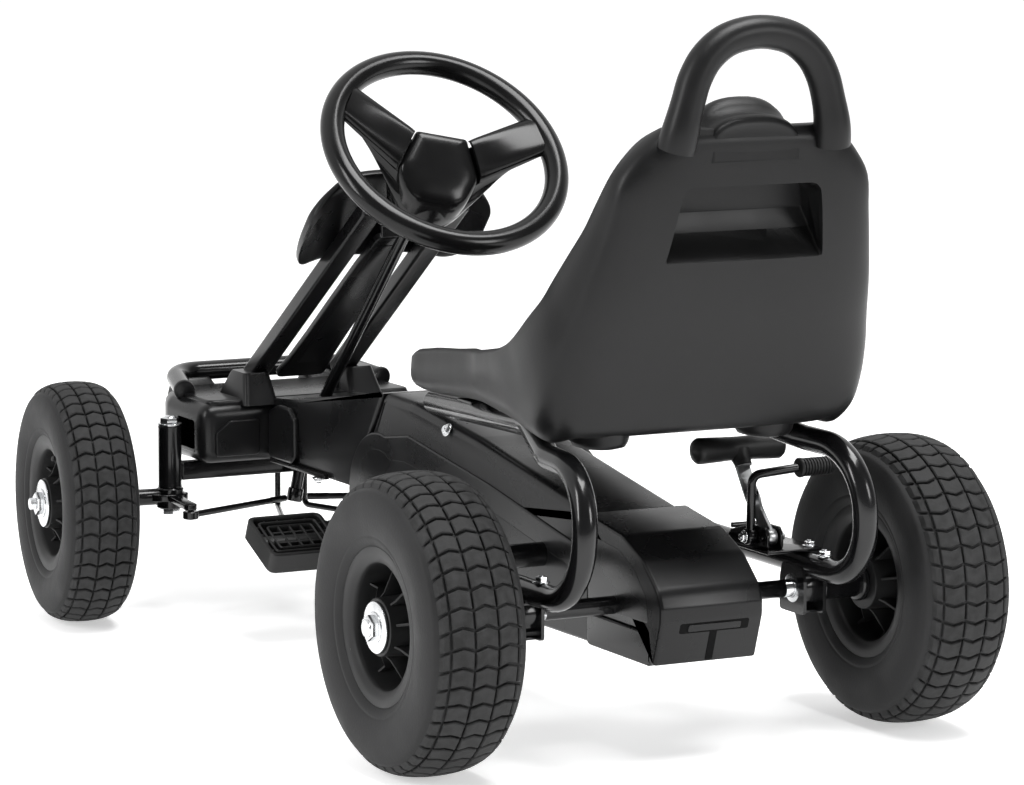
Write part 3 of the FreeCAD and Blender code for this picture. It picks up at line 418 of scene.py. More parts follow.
def plate(corners, radii, low, high, turn=None, rounding=0.0):
    """A flat piece: corners rounded by radii, extruded from low to high."""
    return prism(ccw(arc_outline(corners, radii)), low, high, turn, rounding)


# Takes a prism drawn as (y, z) with its length along Z to the kart: x = length.
SIDE = Matrix(((0, 0, 1, 0), (1, 0, 0, 0), (0, 1, 0, 0), (0, 0, 0, 1)))


def block(size, centre, radius=2.0, turn=None):
    """A box with softened edges."""
    half = Vector(size) / 2
    r = min(radius, min(size) * 0.45)
    corners = [(-half.x, -half.y), (half.x, -half.y), (half.x, half.y), (-half.x, half.y)]
    move = Matrix.Translation(Vector(centre))
    if turn is not None:
        move = move @ turn
    return plate(corners, r * 1.2, -half.z, half.z, move, r)


def hexagon(start, direction, radius, height):
    """A chamfered hexagon nut or bolt head."""
    outline = [Vector((radius * math.cos(math.pi * k / 3), radius * math.sin(math.pi * k / 3)))
               for k in range(6)]
    turn = Vector((0, 0, 1)).rotation_difference(Vector(direction).normalized())
    move = Matrix.Translation(Vector(start)) @ turn.to_matrix().to_4x4()
    return prism(outline, 0, height, move, min(0.9, height * 0.2), 2)


def bolt(start, direction, radius, height, washer):
    """Washer, hexagon head and threaded tip."""
    heading = Vector(direction).normalized()
    start = Vector(start)
    build = Build()
    build.merge(rod(start, start + heading * 1.4, washer, 28, 0.4))
    build.merge(hexagon(start + heading * 1.4, heading, radius, height))
    build.merge(rod(start + heading * (1.2 + height), start + heading * (2.6 + height),
                    radius * 0.5, 20, 0.5))
    return build


# ---------------------------------------------------------------- wheels

def crown_curve(half, radius, bead):
    """Outer side of the tyre, from the middle of the tread to the bead."""
    rise = radius - bead
    shares = [(0.0, 1.0), (0.12, 0.9985), (0.26, 0.992), (0.40, 0.980), (0.54, 0.960),
              (0.66, 0.930), (0.78, 0.886), (0.88, 0.815), (0.945, 0.735), (0.985, 0.63),
              (1.0, 0.50), (0.99, 0.39), (0.965, 0.29), (0.935, 0.215), (0.915, 0.18),
              (0.912, 0.145), (0.885, 0.10), (0.82, 0.04), (0.72, 0.0)]
    return [Vector((half * a, bead + rise * b)) for a, b in shares]


def smooth_line(points, per=6):
    """Catmull-Rom through 2-D points."""
    result = []
    total = len(points)
    for i in range(total - 1):
        p0, p1 = points[max(i - 1, 0)], points[i]
        p2, p3 = points[i + 1], points[min(i + 2, total - 1)]
        for step in range(per):
            t = step / per
            result.append(0.5 * ((2 * p1) + (p2 - p0) * t + (2 * p0 - 5 * p1 + 4 * p2 - p3)
                                 * t * t + (3 * p1 - p0 - 3 * p2 + p3) * t ** 3))
    result.append(points[-1])
    return result


class Curve:
    """Points of a line by arc length, with the outward normal."""

    def __init__(self, points):
        self.points = points
        self.lengths = [0.0]
        for a, b in zip(points, points[1:]):
            self.lengths.append(self.lengths[-1] + (b - a).length)

    def at(self, distance):
        distance = min(max(distance, 0.0), self.lengths[-1] - 1e-6)
        k = 0
        while self.lengths[k + 1] < distance:
            k += 1
        a, b = self.points[k], self.points[k + 1]
        share = (distance - self.lengths[k]) / (self.lengths[k + 1] - self.lengths[k])
        heading = (b - a).normalized()
        return a + (b - a) * share, Vector((-heading.y, heading.x))


TREAD_DEPTH = 3.4
GROOVE = 2.7                # width of the grooves across the tread


def groove_shift(place):
    """How far a cross groove is pushed round the tyre at a place across the tread."""
    knots = [(0, 3.6), (10.2, 0.0), (12, 0.3), (21, 3.4), (31, 0.6), (33, 0.0), (49, -6.0)]
    size = abs(place)
    for (a, va), (b, vb) in zip(knots, knots[1:]):
        if size <= b:
            return va + (vb - va) * (size - a) / (b - a)
    return knots[-1][1]


def tread_blocks(curve, radius, pitches, flip, spread):
    """Five columns of chevron blocks."""
    build = Build()
    columns = [(-48, -33, 3), (-31, -12, 4), (-10, 10, 4), (12, 31, 4), (33, 48, 3)]
    pitch = 2 * math.pi * radius / pitches
    for low, high, cells in columns:
        places = [low + (high - low) * i / cells for i in range(cells + 1)]
        outer = abs(low) > 32
        for number in range(pitches):
            start = number * pitch + GROOVE / 2
            end = (number + 1) * pitch - GROOVE / 2
            rings = []
            for inset, height in ((0, -TREAD_DEPTH), (0, -0.9), (0.9, 0.0)):
                rows = (start + inset, (start + end) / 2, end - inset)
                grid = []
                for row in rows:
                    line = []
                    for i, place in enumerate(places):
                        near = place + (inset if i == 0 else -inset if i == cells else 0)
                        drop = 0.0
                        if outer:
                            drop = -TREAD_DEPTH * max(0.0, (abs(near) - 38) / 10) * 0.95
                        level = max(height + drop, -TREAD_DEPTH) if height > -2 else height
                        spot, normal = curve.at(abs(near) * spread)
                        sign = 1 if near >= 0 else -1
                        reach = row + groove_shift(place)
                        turn = flip * reach / radius
                        r = spot.y + normal.y * level
                        x = sign * (spot.x + normal.x * level)
                        line.append((x, r * math.cos(turn), r * math.sin(turn)))
                    grid.append(line)
                rings.append(grid)
            verts = []
            border = []
            for grid in rings:
                loop = list(grid[0]) + [grid[1][-1]] + list(reversed(grid[2])) + [grid[1][0]]
                border.append((len(verts), len(loop)))
                verts += loop
            middle = len(verts)
            verts += list(rings[2][1][1:-1])
            faces = []
            for (a, n), (b, _) in zip(border, border[1:]):
                for i in range(n):
                    faces.append((a + i, a + (i + 1) % n, b + (i + 1) % n, b + i))
            top = border[2][0]
            row0 = [top + i for i in range(cells + 1)]
            row1 = [top + 2 * cells + 3] + [middle + i for i in range(cells - 1)]
            row1 += [top + cells + 1]
            row2 = [top + 2 * cells + 2 - i for i in range(cells + 1)]
            for upper, lower in ((row0, row1), (row1, row2)):
                for i in range(cells):
                    faces.append((upper[i], upper[i + 1], lower[i + 1], lower[i]))
            build.add(verts, faces, 1)
    return build


def tyre_build(width, dia, bead, pitches, flip):
    """Hollow carcass with a sunk tread band, and the tread's blocks on it."""
    half, radius = width / 2, dia / 2
    line = smooth_line(crown_curve(half, radius, bead), 5)
    curve = Curve(line)
    groove = []
    for point, distance in zip(line, curve.lengths):
        normal = curve.at(distance)[1]
        depth = TREAD_DEPTH * max(0.0, min(1.0, (47 * half / 46.5 - distance) / 9))
        groove.append(point - normal * depth)
    inner = [Vector((half * 0.66, bead)), Vector((half - 9, bead + 10)),
             Vector((half - 8, bead + (radius - bead) * 0.55)),
             Vector((half * 0.6, radius - 14)), Vector((0, radius - 11))]
    right = groove + inner
    left = [Vector((-p.x, p.y)) for p in reversed(right)][1:]
    profile = [(p.x, p.y) for p in right + left[:-1]]
    build = lathe(profile, 150, closed=True)
    build.merge(tread_blocks(curve, radius, pitches, flip, half / 46.5))
    return build


def rim_build(seat, half, hub, hub_half):
    """Moulded rim: stepped flange, dished barrel, hub and eight thin ribs."""
    lip = seat + 3.7
    right = [(half * 0.62, seat - 0.4), (half - 4.2, seat - 0.2), (half - 3.4, lip - 0.8),
             (half - 2.2, lip - 0.1), (half - 0.7, lip - 0.2), (half, lip - 1.3),
             (half - 0.2, seat - 3), (half - 1.2, seat - 6), (half - 3.2, seat - 10.4),
             (half - 4.6, seat - 11.6), (half - 8, seat - 12.4), (half * 0.55, seat - 13.6),
             (half * 0.30, seat - 15.2), (7.0, seat - 17.5), (4.2, seat - 21),
             (3.6, hub + 7), (4.4, hub + 4), (8, hub + 2.4), (hub_half - 3, hub + 1.3),
             (hub_half - 0.7, hub + 0.9), (hub_half, hub), (hub_half, 8.6)]
    bore = [(hub_half, 8.4), (-hub_half, 8.4)]
    profile = right + bore + [(-x, r) for x, r in reversed(right)]
    build = lathe(profile, 96, closed=True)
    for index in range(8):
        angle = 2 * math.pi * (index + 0.27) / 8
        turn = Matrix.Rotation(angle, 4, "X")
        for side in (1, -1):
            outline = [(hub + 0.5, 3), (hub + 0.5, hub_half - 4.5), (hub + 5, hub_half - 9),
                       (seat - 19, half * 0.50), (seat - 13.2, half * 0.62), (seat - 13.2, 3)]
            points = ccw([(r, side * x) for r, x in outline])
            rib = prism(points, -1.3, 1.3, None, 0.7, 2)
            frame_turn = Matrix(((0, 1, 0, 0), (0, 0, 1, 0), (1, 0, 0, 0), (0, 0, 0, 1)))
            build.merge(rib, turn @ frame_turn)
    return build


def place_wheel(at, heading):
    """Matrix of a wheel's hub at a place, turned about the vertical."""
    return Matrix.Translation(Vector(at)) @ Matrix.Rotation(math.radians(heading), 4, "Z")


def axle_end(x, sign, washer):
    """Washer, flanged nut and threaded end on an axle along X."""
    build = Build()
    build.merge(rod((x, 0, 0), (x + sign * 2.2, 0, 0), washer, 48, 0.6))
    build.merge(rod((x + sign * 2.0, 0, 0), (x + sign * 3.4, 0, 0), washer * 0.62, 40, 0.5))
    build.merge(hexagon((x + sign * 3.2, 0, 0), (sign, 0, 0), 11.4, 6.2))
    return build


def thread(x, sign, radius, length):
    """Visible screw thread."""
    pitch = 1.25
    turns = int(length / pitch)
    profile = []
    for k in range(turns):
        profile += [(k * pitch, radius - 0.65), (k * pitch + 0.6, radius)]
    profile.append((turns * pitch, radius - 0.9))
    return Build().merge(lathe(profile, 32), along((x, 0, 0), (sign, 0, 0)))


def wheels():
    """Tyres, rims, valves and the front wheels' nuts."""
    rear_rim = rim_build(66.0, 38.5, 24, 38.3)
    front_rim = rim_build(65.0, 31, 24, 32.8)
    for side, sign in (("left", 1), ("right", -1)):
        move = place_wheel((REAR_WHEEL_X * sign, 0, AXLE_Z), 0)
        make("rear_tyre_" + side, Build().merge(tyre_build(*REAR_TYRE, 48, sign), move),
             ["tyre", "tread"], "rear_axle", 30)
        make("rear_rim_" + side, Build().merge(rear_rim, move), "rim", "rear_axle")
        hub = (KINGPIN_X * sign, KINGPIN_Y, STUB_Z)
        turn = place_wheel(hub, STEER_REST)
        move = turn @ Matrix.Translation(Vector((WHEEL_OFFSET * sign, 0, 0)))
        wheel_body = "front_wheel_" + side
        make("front_tyre_" + side, Build().merge(tyre_build(*FRONT_TYRE, 46, sign), move),
             ["tyre", "tread"], wheel_body, 30)
        make("front_rim_" + side, Build().merge(front_rim, move), "rim", wheel_body)
        nut = axle_end((WHEEL_OFFSET + 33.3) * sign, sign, 23.7)
        make("front_axle_nut_" + side, Build().merge(nut, turn), "zinc", "knuckle_" + side, 30)
        valve = rod((0, 0, 0), (0, 0, 22), 3.4, 20, 0.8)
        valve.merge(rod((0, 0, 20), (0, 0, 27), 2.6, 20, 0.6))
        for name, rim_move, depth, seat, body in (
                ("rear", place_wheel((REAR_WHEEL_X * sign, 0, AXLE_Z), 0), 13, 50, "rear_axle"),
                ("front", move, 10, 49, wheel_body)):
            lean = Matrix.Rotation(math.radians(-35 if name == "front" else 118), 4, "X")
            spot = Matrix.Translation(Vector((sign * depth, 0, seat)))
            tip = Matrix.Rotation(math.radians(62 * sign), 4, "Y")
            stem = Build().merge(valve, rim_move @ lean @ spot @ tip)
            make("%s_valve_%s" % (name, side), stem, "grip", body, 30, node=False)


def rear_axle():
    """Axle, its end nuts, and the sleeves that hold the wheels off the brackets."""
    ends = Build()
    for sign in (1, -1):
        ends.merge(axle_end(sign * 278.8, sign, 22.3), Matrix.Translation((0, 0, AXLE_Z)))
    make("rear_axle_nuts", ends, "zinc", "rear_axle", 30)
    axle = Build()
    for sign in (1, -1):
        axle.merge(rod((BLACK_AXLE_SPAN * sign, 0, AXLE_Z), (283 * sign, 0, AXLE_Z), 7.95,
                       32, 0.4))
        axle.merge(thread(sign * 280, sign, 7.9, 11.2), Matrix.Translation((0, 0, AXLE_Z)))
    make("rear_axle", axle, "zinc", "rear_axle", 30)
    sleeves = rod((-BLACK_AXLE_SPAN, 0, AXLE_Z), (BLACK_AXLE_SPAN, 0, AXLE_Z), 7.95, 32, 0.2)
    for sign in (1, -1):
        profile = [(0, 8.1), (0, 16.0), (2.5, 16.8), (4.0, 16.0), (4.6, 13.4), (40.6, 13.4),
                   (41.2, 16.0), (43.0, 17.2), (47.2, 17.2), (47.7, 16.4), (47.7, 8.1)]
        sleeves.merge(lathe(profile, 48, closed=True), along((153.4 * sign, 0, AXLE_Z),
                                                             (sign, 0, 0)))
    make("axle_spacers", sleeves, "paint", "rear_axle", slot="zinc_plate")


# ---------------------------------------------------------------- front end

def knuckles():
    """Knuckles with their stub axles and kingpins."""
    for side, sign in (("left", 1), ("right", -1)):
        turn = place_wheel((KINGPIN_X * sign, KINGPIN_Y, STUB_Z), STEER_REST)
        build = Build()
        build.merge(lathe([(-11.8, 6.3), (-11.8, 12.6), (-10.6, 13.7), (7.6, 13.7), (8.7, 12.6),
                           (8.7, 6.3)], 48, closed=True), along((0, 0, 0), (0, 0, 1)))
        oval = [Vector((20.5 * math.cos(a) + 2.5 * sign, 14.5 * math.sin(a) + 2))
                for a in [2 * math.pi * k / 40 for k in range(40)]]
        build.merge(prism(ccw(oval), -3.6, 3.4, None, 1.2))
        arm = [(-7.5, 6), (7.5, 6), (6.3, 40), (6.6, 72), (4, 77.5), (-4, 77.5), (-6.6, 72),
               (-6.3, 40)]
        build.merge(plate(arm, 3, -2.9, 2.9, None, 1.0))
        build.merge(rod((0, 72, -12.8), (0, 72, -2), 2.95, 24, 0.4))
        build.merge(rod((sign * 9, 0, 0), (sign * 59.5, 0, 0), 8.4, 40, 1.2))
        build.merge(rod((sign * 55, 0, 0), (sign * 63.6, 0, 0), 8.0, 40, 0.8))
        make("knuckle_" + side, Build().merge(build, turn), "paint", "knuckle_" + side)
        stub = rod((sign * 58, 0, 0), (sign * 140, 0, 0), 5.95, 32, 0.4)
        stub.merge(thread(sign * 135.5, sign, 5.9, 10))
        make("stub_thread_" + side, Build().merge(stub, turn), "zinc", "knuckle_" + side, 30,
             node=False)
        pin = rod((0, 0, -17), (0, 0, 76), 5.9, 32, 0.5)
        pin.merge(hexagon((0, 0, -12.2), (0, 0, -1), 9.8, 5.8))
        pin.merge(rod((0, 0, 72.4), (0, 0, 74.2), 12.3, 44, 0.5))
        pin.merge(hexagon((0, 0, 74.2), (0, 0, 1), 9.8, 5.6))
        pin.merge(lathe([(79.6, 0.05), (79.6, 6.4), (80.4, 6.0), (81.6, 4.4), (81.9, 0.05)], 32),
                  along((0, 0, 0), (0, 0, 1)))
        make("kingpin_bolt_" + side, Build().merge(pin, turn), "zinc", "knuckle_" + side, 30)


def swing(point):
    """Where a point on the steering shaft stands with the steering at rest."""
    turn = Matrix.Rotation(math.radians(WHEEL_REST), 3, SHAFT_AXIS)
    return SHAFT_HEAD + turn @ (Vector(point) - SHAFT_HEAD)


def tie_rods():
    """Rods from the knuckles' arms to just short of the shaft's foot."""
    for side, sign in (("left", 1), ("right", -1)):
        yaw = Matrix.Rotation(math.radians(STEER_REST), 3, "Z")
        eye = Vector((KINGPIN_X * sign, KINGPIN_Y, STUB_Z)) + yaw @ Vector((0, 72, -8))
        block_at = swing(CRANK_BLOCK)
        block_at.z = eye.z
        heading = (block_at - eye).normalized()
        end = eye + heading * ((block_at - eye).length - 13)
        build = rod(eye + heading * 5, end, 3.2, 24, 0.8)
        build.merge(rod(end - heading * 22, end, 3.45, 24, 0.9))
        build.merge(lathe([(-3.8, 3.2), (-3.8, 7.2), (-3, 7.9), (3, 7.9), (3.8, 7.2),
                           (3.8, 3.2)], 36, closed=True), along(eye, (0, 0, 1)))
        make("tie_rod_" + side, build, "paint", "tie_rod_" + side)


def beam():
    """Front beam with its kingpin housings, and the guard rods with their sleeve."""
    build = block((261, 18, 18), (0, -764, 144), 2.2)
    for sign in (1, -1):
        ring = [(129.1, 6.2), (129.1, 11.2), (129.9, 12), (131, 12), (131.6, 11.75),
                (189.4, 11.75), (190, 12), (191.1, 12), (191.9, 11.2), (191.9, 6.2)]
        build.merge(lathe(ring, 48, closed=True),
                    along((KINGPIN_X * sign, KINGPIN_Y, 0), (0, 0, 1)))
        gusset = [(-768, 153), (-768, 197), (-738, 197), (-672, 197), (-659, 188), (-659, 157),
                  (-676, 152.5), (-738, 152.5)]
        build.merge(plate(gusset, 4, 20.2 * sign, 24.0 * sign, SIDE))
    make("front_beam", build, "paint")
    rods = Build()
    for sign in (1, -1):
        rods.merge(tube([(15 * sign, -776.2, 148), (15 * sign, -776.2, 97),
                         (44 * sign, -700, 97), (44 * sign, -654, 94)], [7, 12], 3.0, 16))
    make("front_guard_rods", rods, "paint")
    profile = []
    for x in range(-48, 49, 8):
        profile += [(x - 3.3, 7.9), (x - 2.6, 8.9), (x + 2.6, 8.9), (x + 3.3, 7.9)]
    profile = [(-51.8, 6), (-51.7, 7.6)] + profile[1:-1] + [(51.7, 7.6), (51.8, 6)]
    make("front_guard_sleeve",
         Build().merge(lathe(profile, 40), along((0, -644.8, 94), (1, 0, 0))), "grip")


def bumper():
    """Front bumper tube with its end caps."""
    bar = tube([(110, -796, 221), (92, -866, 229), (-92, -866, 229), (-110, -796, 221)],
               [34, 34], 9.9, 32, 12)
    make("front_bumper", bar, "paint")
    caps = Build()
    for sign in (1, -1):
        profile = [(0, 10.2), (0.5, 10.9), (3.5, 11.0), (5.2, 10.2), (6.0, 7.5), (6.2, 0.05)]
        caps.merge(lathe(profile, 40), along((110.1 * sign, -795.6, 220.9), (18 * sign, 70, -8)))
    make("bumper_caps", caps, "body")


STRUT_TOP = Vector((46, -490, 431.2))
STRUT_FOOT = Vector((48, -757, 240))


def axes_frame(origin, along_dir, across):
    """Matrix with Z along a direction, X as near across as it goes."""
    z = Vector(along_dir).normalized()
    y = z.cross(Vector(across)).normalized()
    x = y.cross(z)
    return Matrix(((x.x, y.x, z.x, origin.x), (x.y, y.y, z.y, origin.y),
                   (x.z, y.z, z.z, origin.z), (0, 0, 0, 1)))


def column_struts():
    """Two bars that carry the column's head."""
    build = Build()
    for sign in (1, -1):
        top = Vector((STRUT_TOP.x * sign, STRUT_TOP.y, STRUT_TOP.z))
        foot = Vector((STRUT_FOOT.x * sign, STRUT_FOOT.y, STRUT_FOOT.z))
        move = axes_frame(foot, top - foot, (1, 0, 0))
        build.merge(plate([(-10.9, -7.9), (10.9, -7.9), (10.9, 7.9), (-10.9, 7.9)], 3.2, -3,
                          (top - foot).length, move, 1.5))
        build.merge(block((20, 16, 82), (49 * sign, -757, 195.3), 2.0))
    make("column_struts", build, "body", slot="gloss_black_paint")


def column_panel():
    """The waisted panel between the struts, with a raised field on each face."""
    low, high = Vector((0, -757, 236)), Vector((0, -536, 398.5))
    length = (high - low).length
    move = axes_frame(low, high - low, (1, 0, 0))
    panel = Build()
    wide = [(0, 27), (length * 0.12, 23.5), (length * 0.3, 22), (length * 0.55, 21.5),
            (length * 0.8, 20.5), (length, 18)]
    outline = [(w, s) for s, w in wide] + [(-w, s) for s, w in reversed(wide)]
    lay = Matrix(((1, 0, 0, 0), (0, 0, 1, 0), (0, 1, 0, 0), (0, 0, 0, 1)))
    panel.merge(plate(outline, 7, -3.9, 3.4, move @ lay, 1.4))
    ridge = [(15, 30), (15, length - 14), (-15, length - 14), (-15, 30)]
    for level in ((3.0, 4.1), (-4.6, -3.5)):
        panel.merge(plate(ridge, 6, level[0], level[1], move @ lay, 0.5))
    make("column_panel", panel, "body")


def steering_bushes():
    """Upper and lower bushes of the steering shaft, with the upper one's plate."""
    bushes = Build()
    for distance, length in ((112, 36), (440, 48)):
        start = SHAFT_HEAD - SHAFT_AXIS * distance
        ring = [(0, 6.4), (0, 10), (1, 10.9), (length - 1, 10.9), (length, 10), (length, 6.4)]
        bushes.merge(lathe(ring, 40, closed=True), along(start, SHAFT_AXIS))
    start = SHAFT_HEAD - SHAFT_AXIS * 112
    bushes.merge(block((69.6, 5, 34), (0, start.y + 12, start.z + 10), 1.5))
    make("steering_bushes", bushes, "body")


SHIELD = [
    # across, depth of the dish, low edge, high edge
    (0, 25, -50, 66), (30, 25, -50, 66), (50, 24, -51, 64), (64, 20, -51, 60),
    (76, 14, -48, 54), (85, 9, -40, 48), (91, 5, -28, 42), (95, 2, -12, 36), (97, 0, 4, 28),
]


def shield():
    """A dished cowl across the column whose sides turn back round the struts."""
    run, face = Vector((0, 0.66, 0.75)), Vector((0, -0.75, 0.66))
    centre = Vector((0, -541, 397))
    half = spline_rows(SHIELD, 5)
    rows = [(-x, w, a, b) for x, w, a, b in reversed(half[1:])] + half
    rings = []
    for i, (x, dish, low, high) in enumerate(rows):
        thick = 5.0 if 1 < i < len(rows) - 2 else 3.6
        loop = []
        for k in range(28):
            b = 2 * math.pi * k / 28
            c, s = math.cos(b), math.sin(b)
            up = (low + high) / 2 + (high - low) / 2 * math.copysign(abs(c) ** 0.3, c)
            depth = thick * math.copysign(abs(s) ** 0.45, s)
            loop.append(centre + Vector((x, 0, 0)) + run * up + face * (dish + depth))
        rings.append(loop)
    make("shield_panel", loft(rings), "body", sharp=40)


# ---------------------------------------------------------------- steering wheel

def wheel_matrix():
    """The steering wheel's own frame: z up its shaft, y towards the driver's lap."""
    turn = Matrix.Rotation(math.radians(WHEEL_REST), 4, SHAFT_AXIS)
    lean = Matrix.Rotation(math.radians(-45), 4, "X")
    return Matrix.Translation(SHAFT_HEAD) @ turn @ lean


FUNNEL = [
    # underside of the spokes, running down into the column's head: top middle, shoulder,
    # the tip's upper and lower corners, lower corner, bottom
    ((0, -20, -16), (27, -22, -14), (80, -52, -4), (90, -20, -4), (42, 8, -27), (0, 36, -34)),
    ((0, -16, -26), (25, -18, -24), (68, -34, -16), (72, -10, -18), (40, 12, -36),
     (0, 40, -42)),
    ((0, -14, -36), (24, -16, -34), (54, -18, -30), (56, 2, -32), (36, 22, -44),
     (0, 42, -50)),
    ((0, -14, -48), (22, -15, -46), (44, -13, -44), (45, 6, -46), (30, 28, -54),
     (0, 42, -58)),
    ((0, -15, -60), (20, -16, -60), (37, -9, -60), (38, 8, -60), (26, 29, -64),
     (0, 41, -66)),
    ((0, -17, -74), (17, -17, -74), (32, -8, -74), (33, 8, -74), (22, 26, -75),
     (0, 36, -76)),
    ((0, -18, -83), (15, -17, -83), (29, -8, -83), (30, 8, -83), (20, 25, -83),
     (0, 33, -83)),
]


def funnel_ring(row):
    """A closed smooth ring from half of its corners, the other half mirrored."""
    spots = [row[i:i + 3] for i in range(0, 18, 3)]
    rows = spots + [(-x, y, z) for x, y, z in reversed(spots[1:-1])]
    closed = rows[-1:] + rows + rows[:2]
    return [Vector(point) for point in spline_rows(closed, 6)[6:-12]]


def steering_ring(move):
    """The wheel's round rim."""
    verts = []
    around, sides = 144, 32
    for i in range(around):
        a = 2 * math.pi * i / around
        for k in range(sides):
            b = 2 * math.pi * k / sides
            r = 111.8 + 11.5 * math.cos(b)
            verts.append((r * math.cos(a), r * math.sin(a), 11.5 * math.sin(b)))
    ring = Build().add(verts, ring_faces(around, sides, True), 0, move)
    make("steering_ring", ring, "wheel", "steering", 40)


def steering_spokes(move):
    """Two broad spokes, and the funnel below them that runs into the column's head."""
    spokes = Build()
    for sign in (1, -1):
        near = (Vector((26.5 * sign, -24.6, -7)), Vector((42 * sign, 10, -24)))
        far = (Vector((88 * sign, -61, 0)), Vector((101.5 * sign, -19, 0)))
        rings = []
        for step in range(19):
            share = step / 18
            upper, lower = near[0].lerp(far[0], share), near[1].lerp(far[1], share)
            centre, across = (upper + lower) / 2, (lower - upper) / 2
            fade = max(0, 0.08 - share) / 0.08
            loop = []
            for k in range(40):
                b = 2 * math.pi * k / 40
                c, s = math.cos(b), math.sin(b)
                u = (1 - 0.03 * fade) * math.copysign(abs(c) ** 0.55, c)
                v = (7 - 2 * fade if s > 0 else -9) * math.copysign(abs(s) ** 0.8, s)
                loop.append(centre + across * u + Vector((0, 0, v)))
            rings.append(loop)
        spokes.merge(loft(rings))
    flat_rows = [[v for spot in row for v in spot] for row in FUNNEL]
    spokes.merge(loft([funnel_ring(row) for row in spline_rows(flat_rows, 4)]))
    make("steering_spokes", Build().merge(spokes, move), "wheel", "steering", 46)


def steering_pad(move):
    """The crowned pad in the middle, sunk so that it follows the spokes' dish."""
    outline = ccw(arc_outline([(-25.5, -26), (25.5, -26), (40.5, 9), (26, 39), (-26, 39),
                               (-40.5, 9)], [4, 4, 16, 22, 22, 16], 6))
    rings = []
    levels = [(-16, 0.97), (-6, 1.0), (-1.0, 1.0), (2.4, 0.985), (4.6, 0.94), (6.4, 0.86),
              (7.7, 0.74), (8.4, 0.58), (8.8, 0.38), (9, 0.16)]
    for height, share in levels:
        ring = []
        for p in outline:
            x, y = p.x * share, (p.y - 5) * share + 5
            sink = -19.8 - 0.47 * y if y < 9 else -24 - 0.42 * (y - 9)
            ring.append(Vector((x, y, sink + height)))
        rings.append(ring)
    pad = loft(rings)
    make("steering_pad", Build().merge(pad, move), "wheel", "steering", 42)


def steering_shaft():
    """Bent shaft, with the block at its foot that the tie rods serve."""
    corners = [swing(SHAFT_HEAD - SHAFT_AXIS * 14), swing((0, -741, 173)), swing((0, -741, 110))]
    shaft = tube(corners, [8], 5.95, 28, 10)
    low, high = swing((0, -741, 106.3)), swing((0, -741, 119.6))
    shaft.merge(rod(low, high, 7.9, 32, 0.8))
    make("steering_shaft", shaft, "paint", "steering", slot="zinc_plate")


# ---------------------------------------------------------------- frame and hoops

def main_frame():
    """Square spine and the cross tube that carries the hoops."""
    spine = block((40, 652, 30), (0, -386, 183), 2.6)
    spine.merge(rod((-130.8, -140, 152), (130.8, -140, 152), 10.95, 40, 0.6))
    spine.merge(block((34, 18, 10), (0, -140, 163), 1.2))
    make("main_frame", spine, "paint")


def rear_hoops():
    """Bent tubes that run back below the seat and down round the axle's brackets."""
    for side, sign in (("left", 1), ("right", -1)):
        corners = [(48 * sign, -352, 262), (100 * sign, -62, 283), (127 * sign, 20, 268),
                   (135 * sign, 107, 266), (141 * sign, 107, 152), (141 * sign, -165, 152)]
        bar = tube(corners, [90, 60, 55, 55], 10.95, 32, 14)
        make("rear_hoop_" + side, bar, "paint")


def axle_brackets():
    """Axle brackets, their bearings, and the bolts on the hoops' lower legs."""
    brackets = Build()
    for sign in (1, -1):
        side = [(-20.5, 108.4), (-20.5, 138), (-17, 151), (17, 151), (20.5, 138), (20.5, 108.4),
                (12, 108.2), (-12, 108.2)]
        brackets.merge(plate(side, 5, 129.4 * sign, 132.4 * sign, SIDE))
        brackets.merge(plate(side, 5, 149.6 * sign, 152.7 * sign, SIDE))
        brackets.merge(block((22, 36, 3.0), (141 * sign, 0, 141.6), 0.8))
        brackets.merge(block((22, 24, 2.6), (141 * sign, 0, 109.8), 0.8))
        brackets.merge(rod((130 * sign, 0, AXLE_Z), (152 * sign, 0, AXLE_Z), 16.5, 36, 0.6))
    make("axle_brackets", brackets, "paint")
    rings = Build()
    for sign in (1, -1):
        profile = [(129.2, 8.3), (129.2, 12.6), (130.0, 13.9), (152.0, 13.9), (152.8, 12.6),
                   (152.8, 8.3)]
        rings.merge(lathe([(x * sign, r) for x, r in profile], 40, closed=True),
                    Matrix.Translation((0, 0, AXLE_Z)))
    make("axle_bearings", rings, "zinc")
    bolts = Build()
    for x, y in ((141, 36), (-141, 36), (141, -60), (-141, -110)):
        bolts.merge(bolt((x, y, 162.8), (0, 0, 1), 5.4, 4.0, 7.4))
    make("frame_bolts", bolts, "zinc", sharp=30)


# ---------------------------------------------------------------- covers

def side_prism(profile, radii, half, rounding):
    """A (y, z) outline extruded across the kart with soft rims."""
    return plate(profile, radii, -half, half, SIDE, rounding)


def wedge(base, top, low_z, high_z, lean, radius):
    """A tapering block: base and top are (x0, x1, y0, y1)."""
    rings = []
    for z, (x0, x1, y0, y1) in ((low_z, base), (high_z - 2.2, top), (high_z - 0.6, top),
                                (high_z, top)):
        inset = 0 if z < high_z - 2 else (2.2 - (high_z - z)) * 0.55
        corners = [(x0 + inset, y0 + inset), (x1 - inset, y0 + inset),
                   (x1 - inset, y1 - inset), (x0 + inset, y1 - inset)]
        outline = ccw(arc_outline(corners, radius, 4))
        rings.append([Vector((p.x + lean[0] * (z - low_z), p.y + lean[1] * (z - low_z), z))
                      for p in outline])
    return loft(rings)


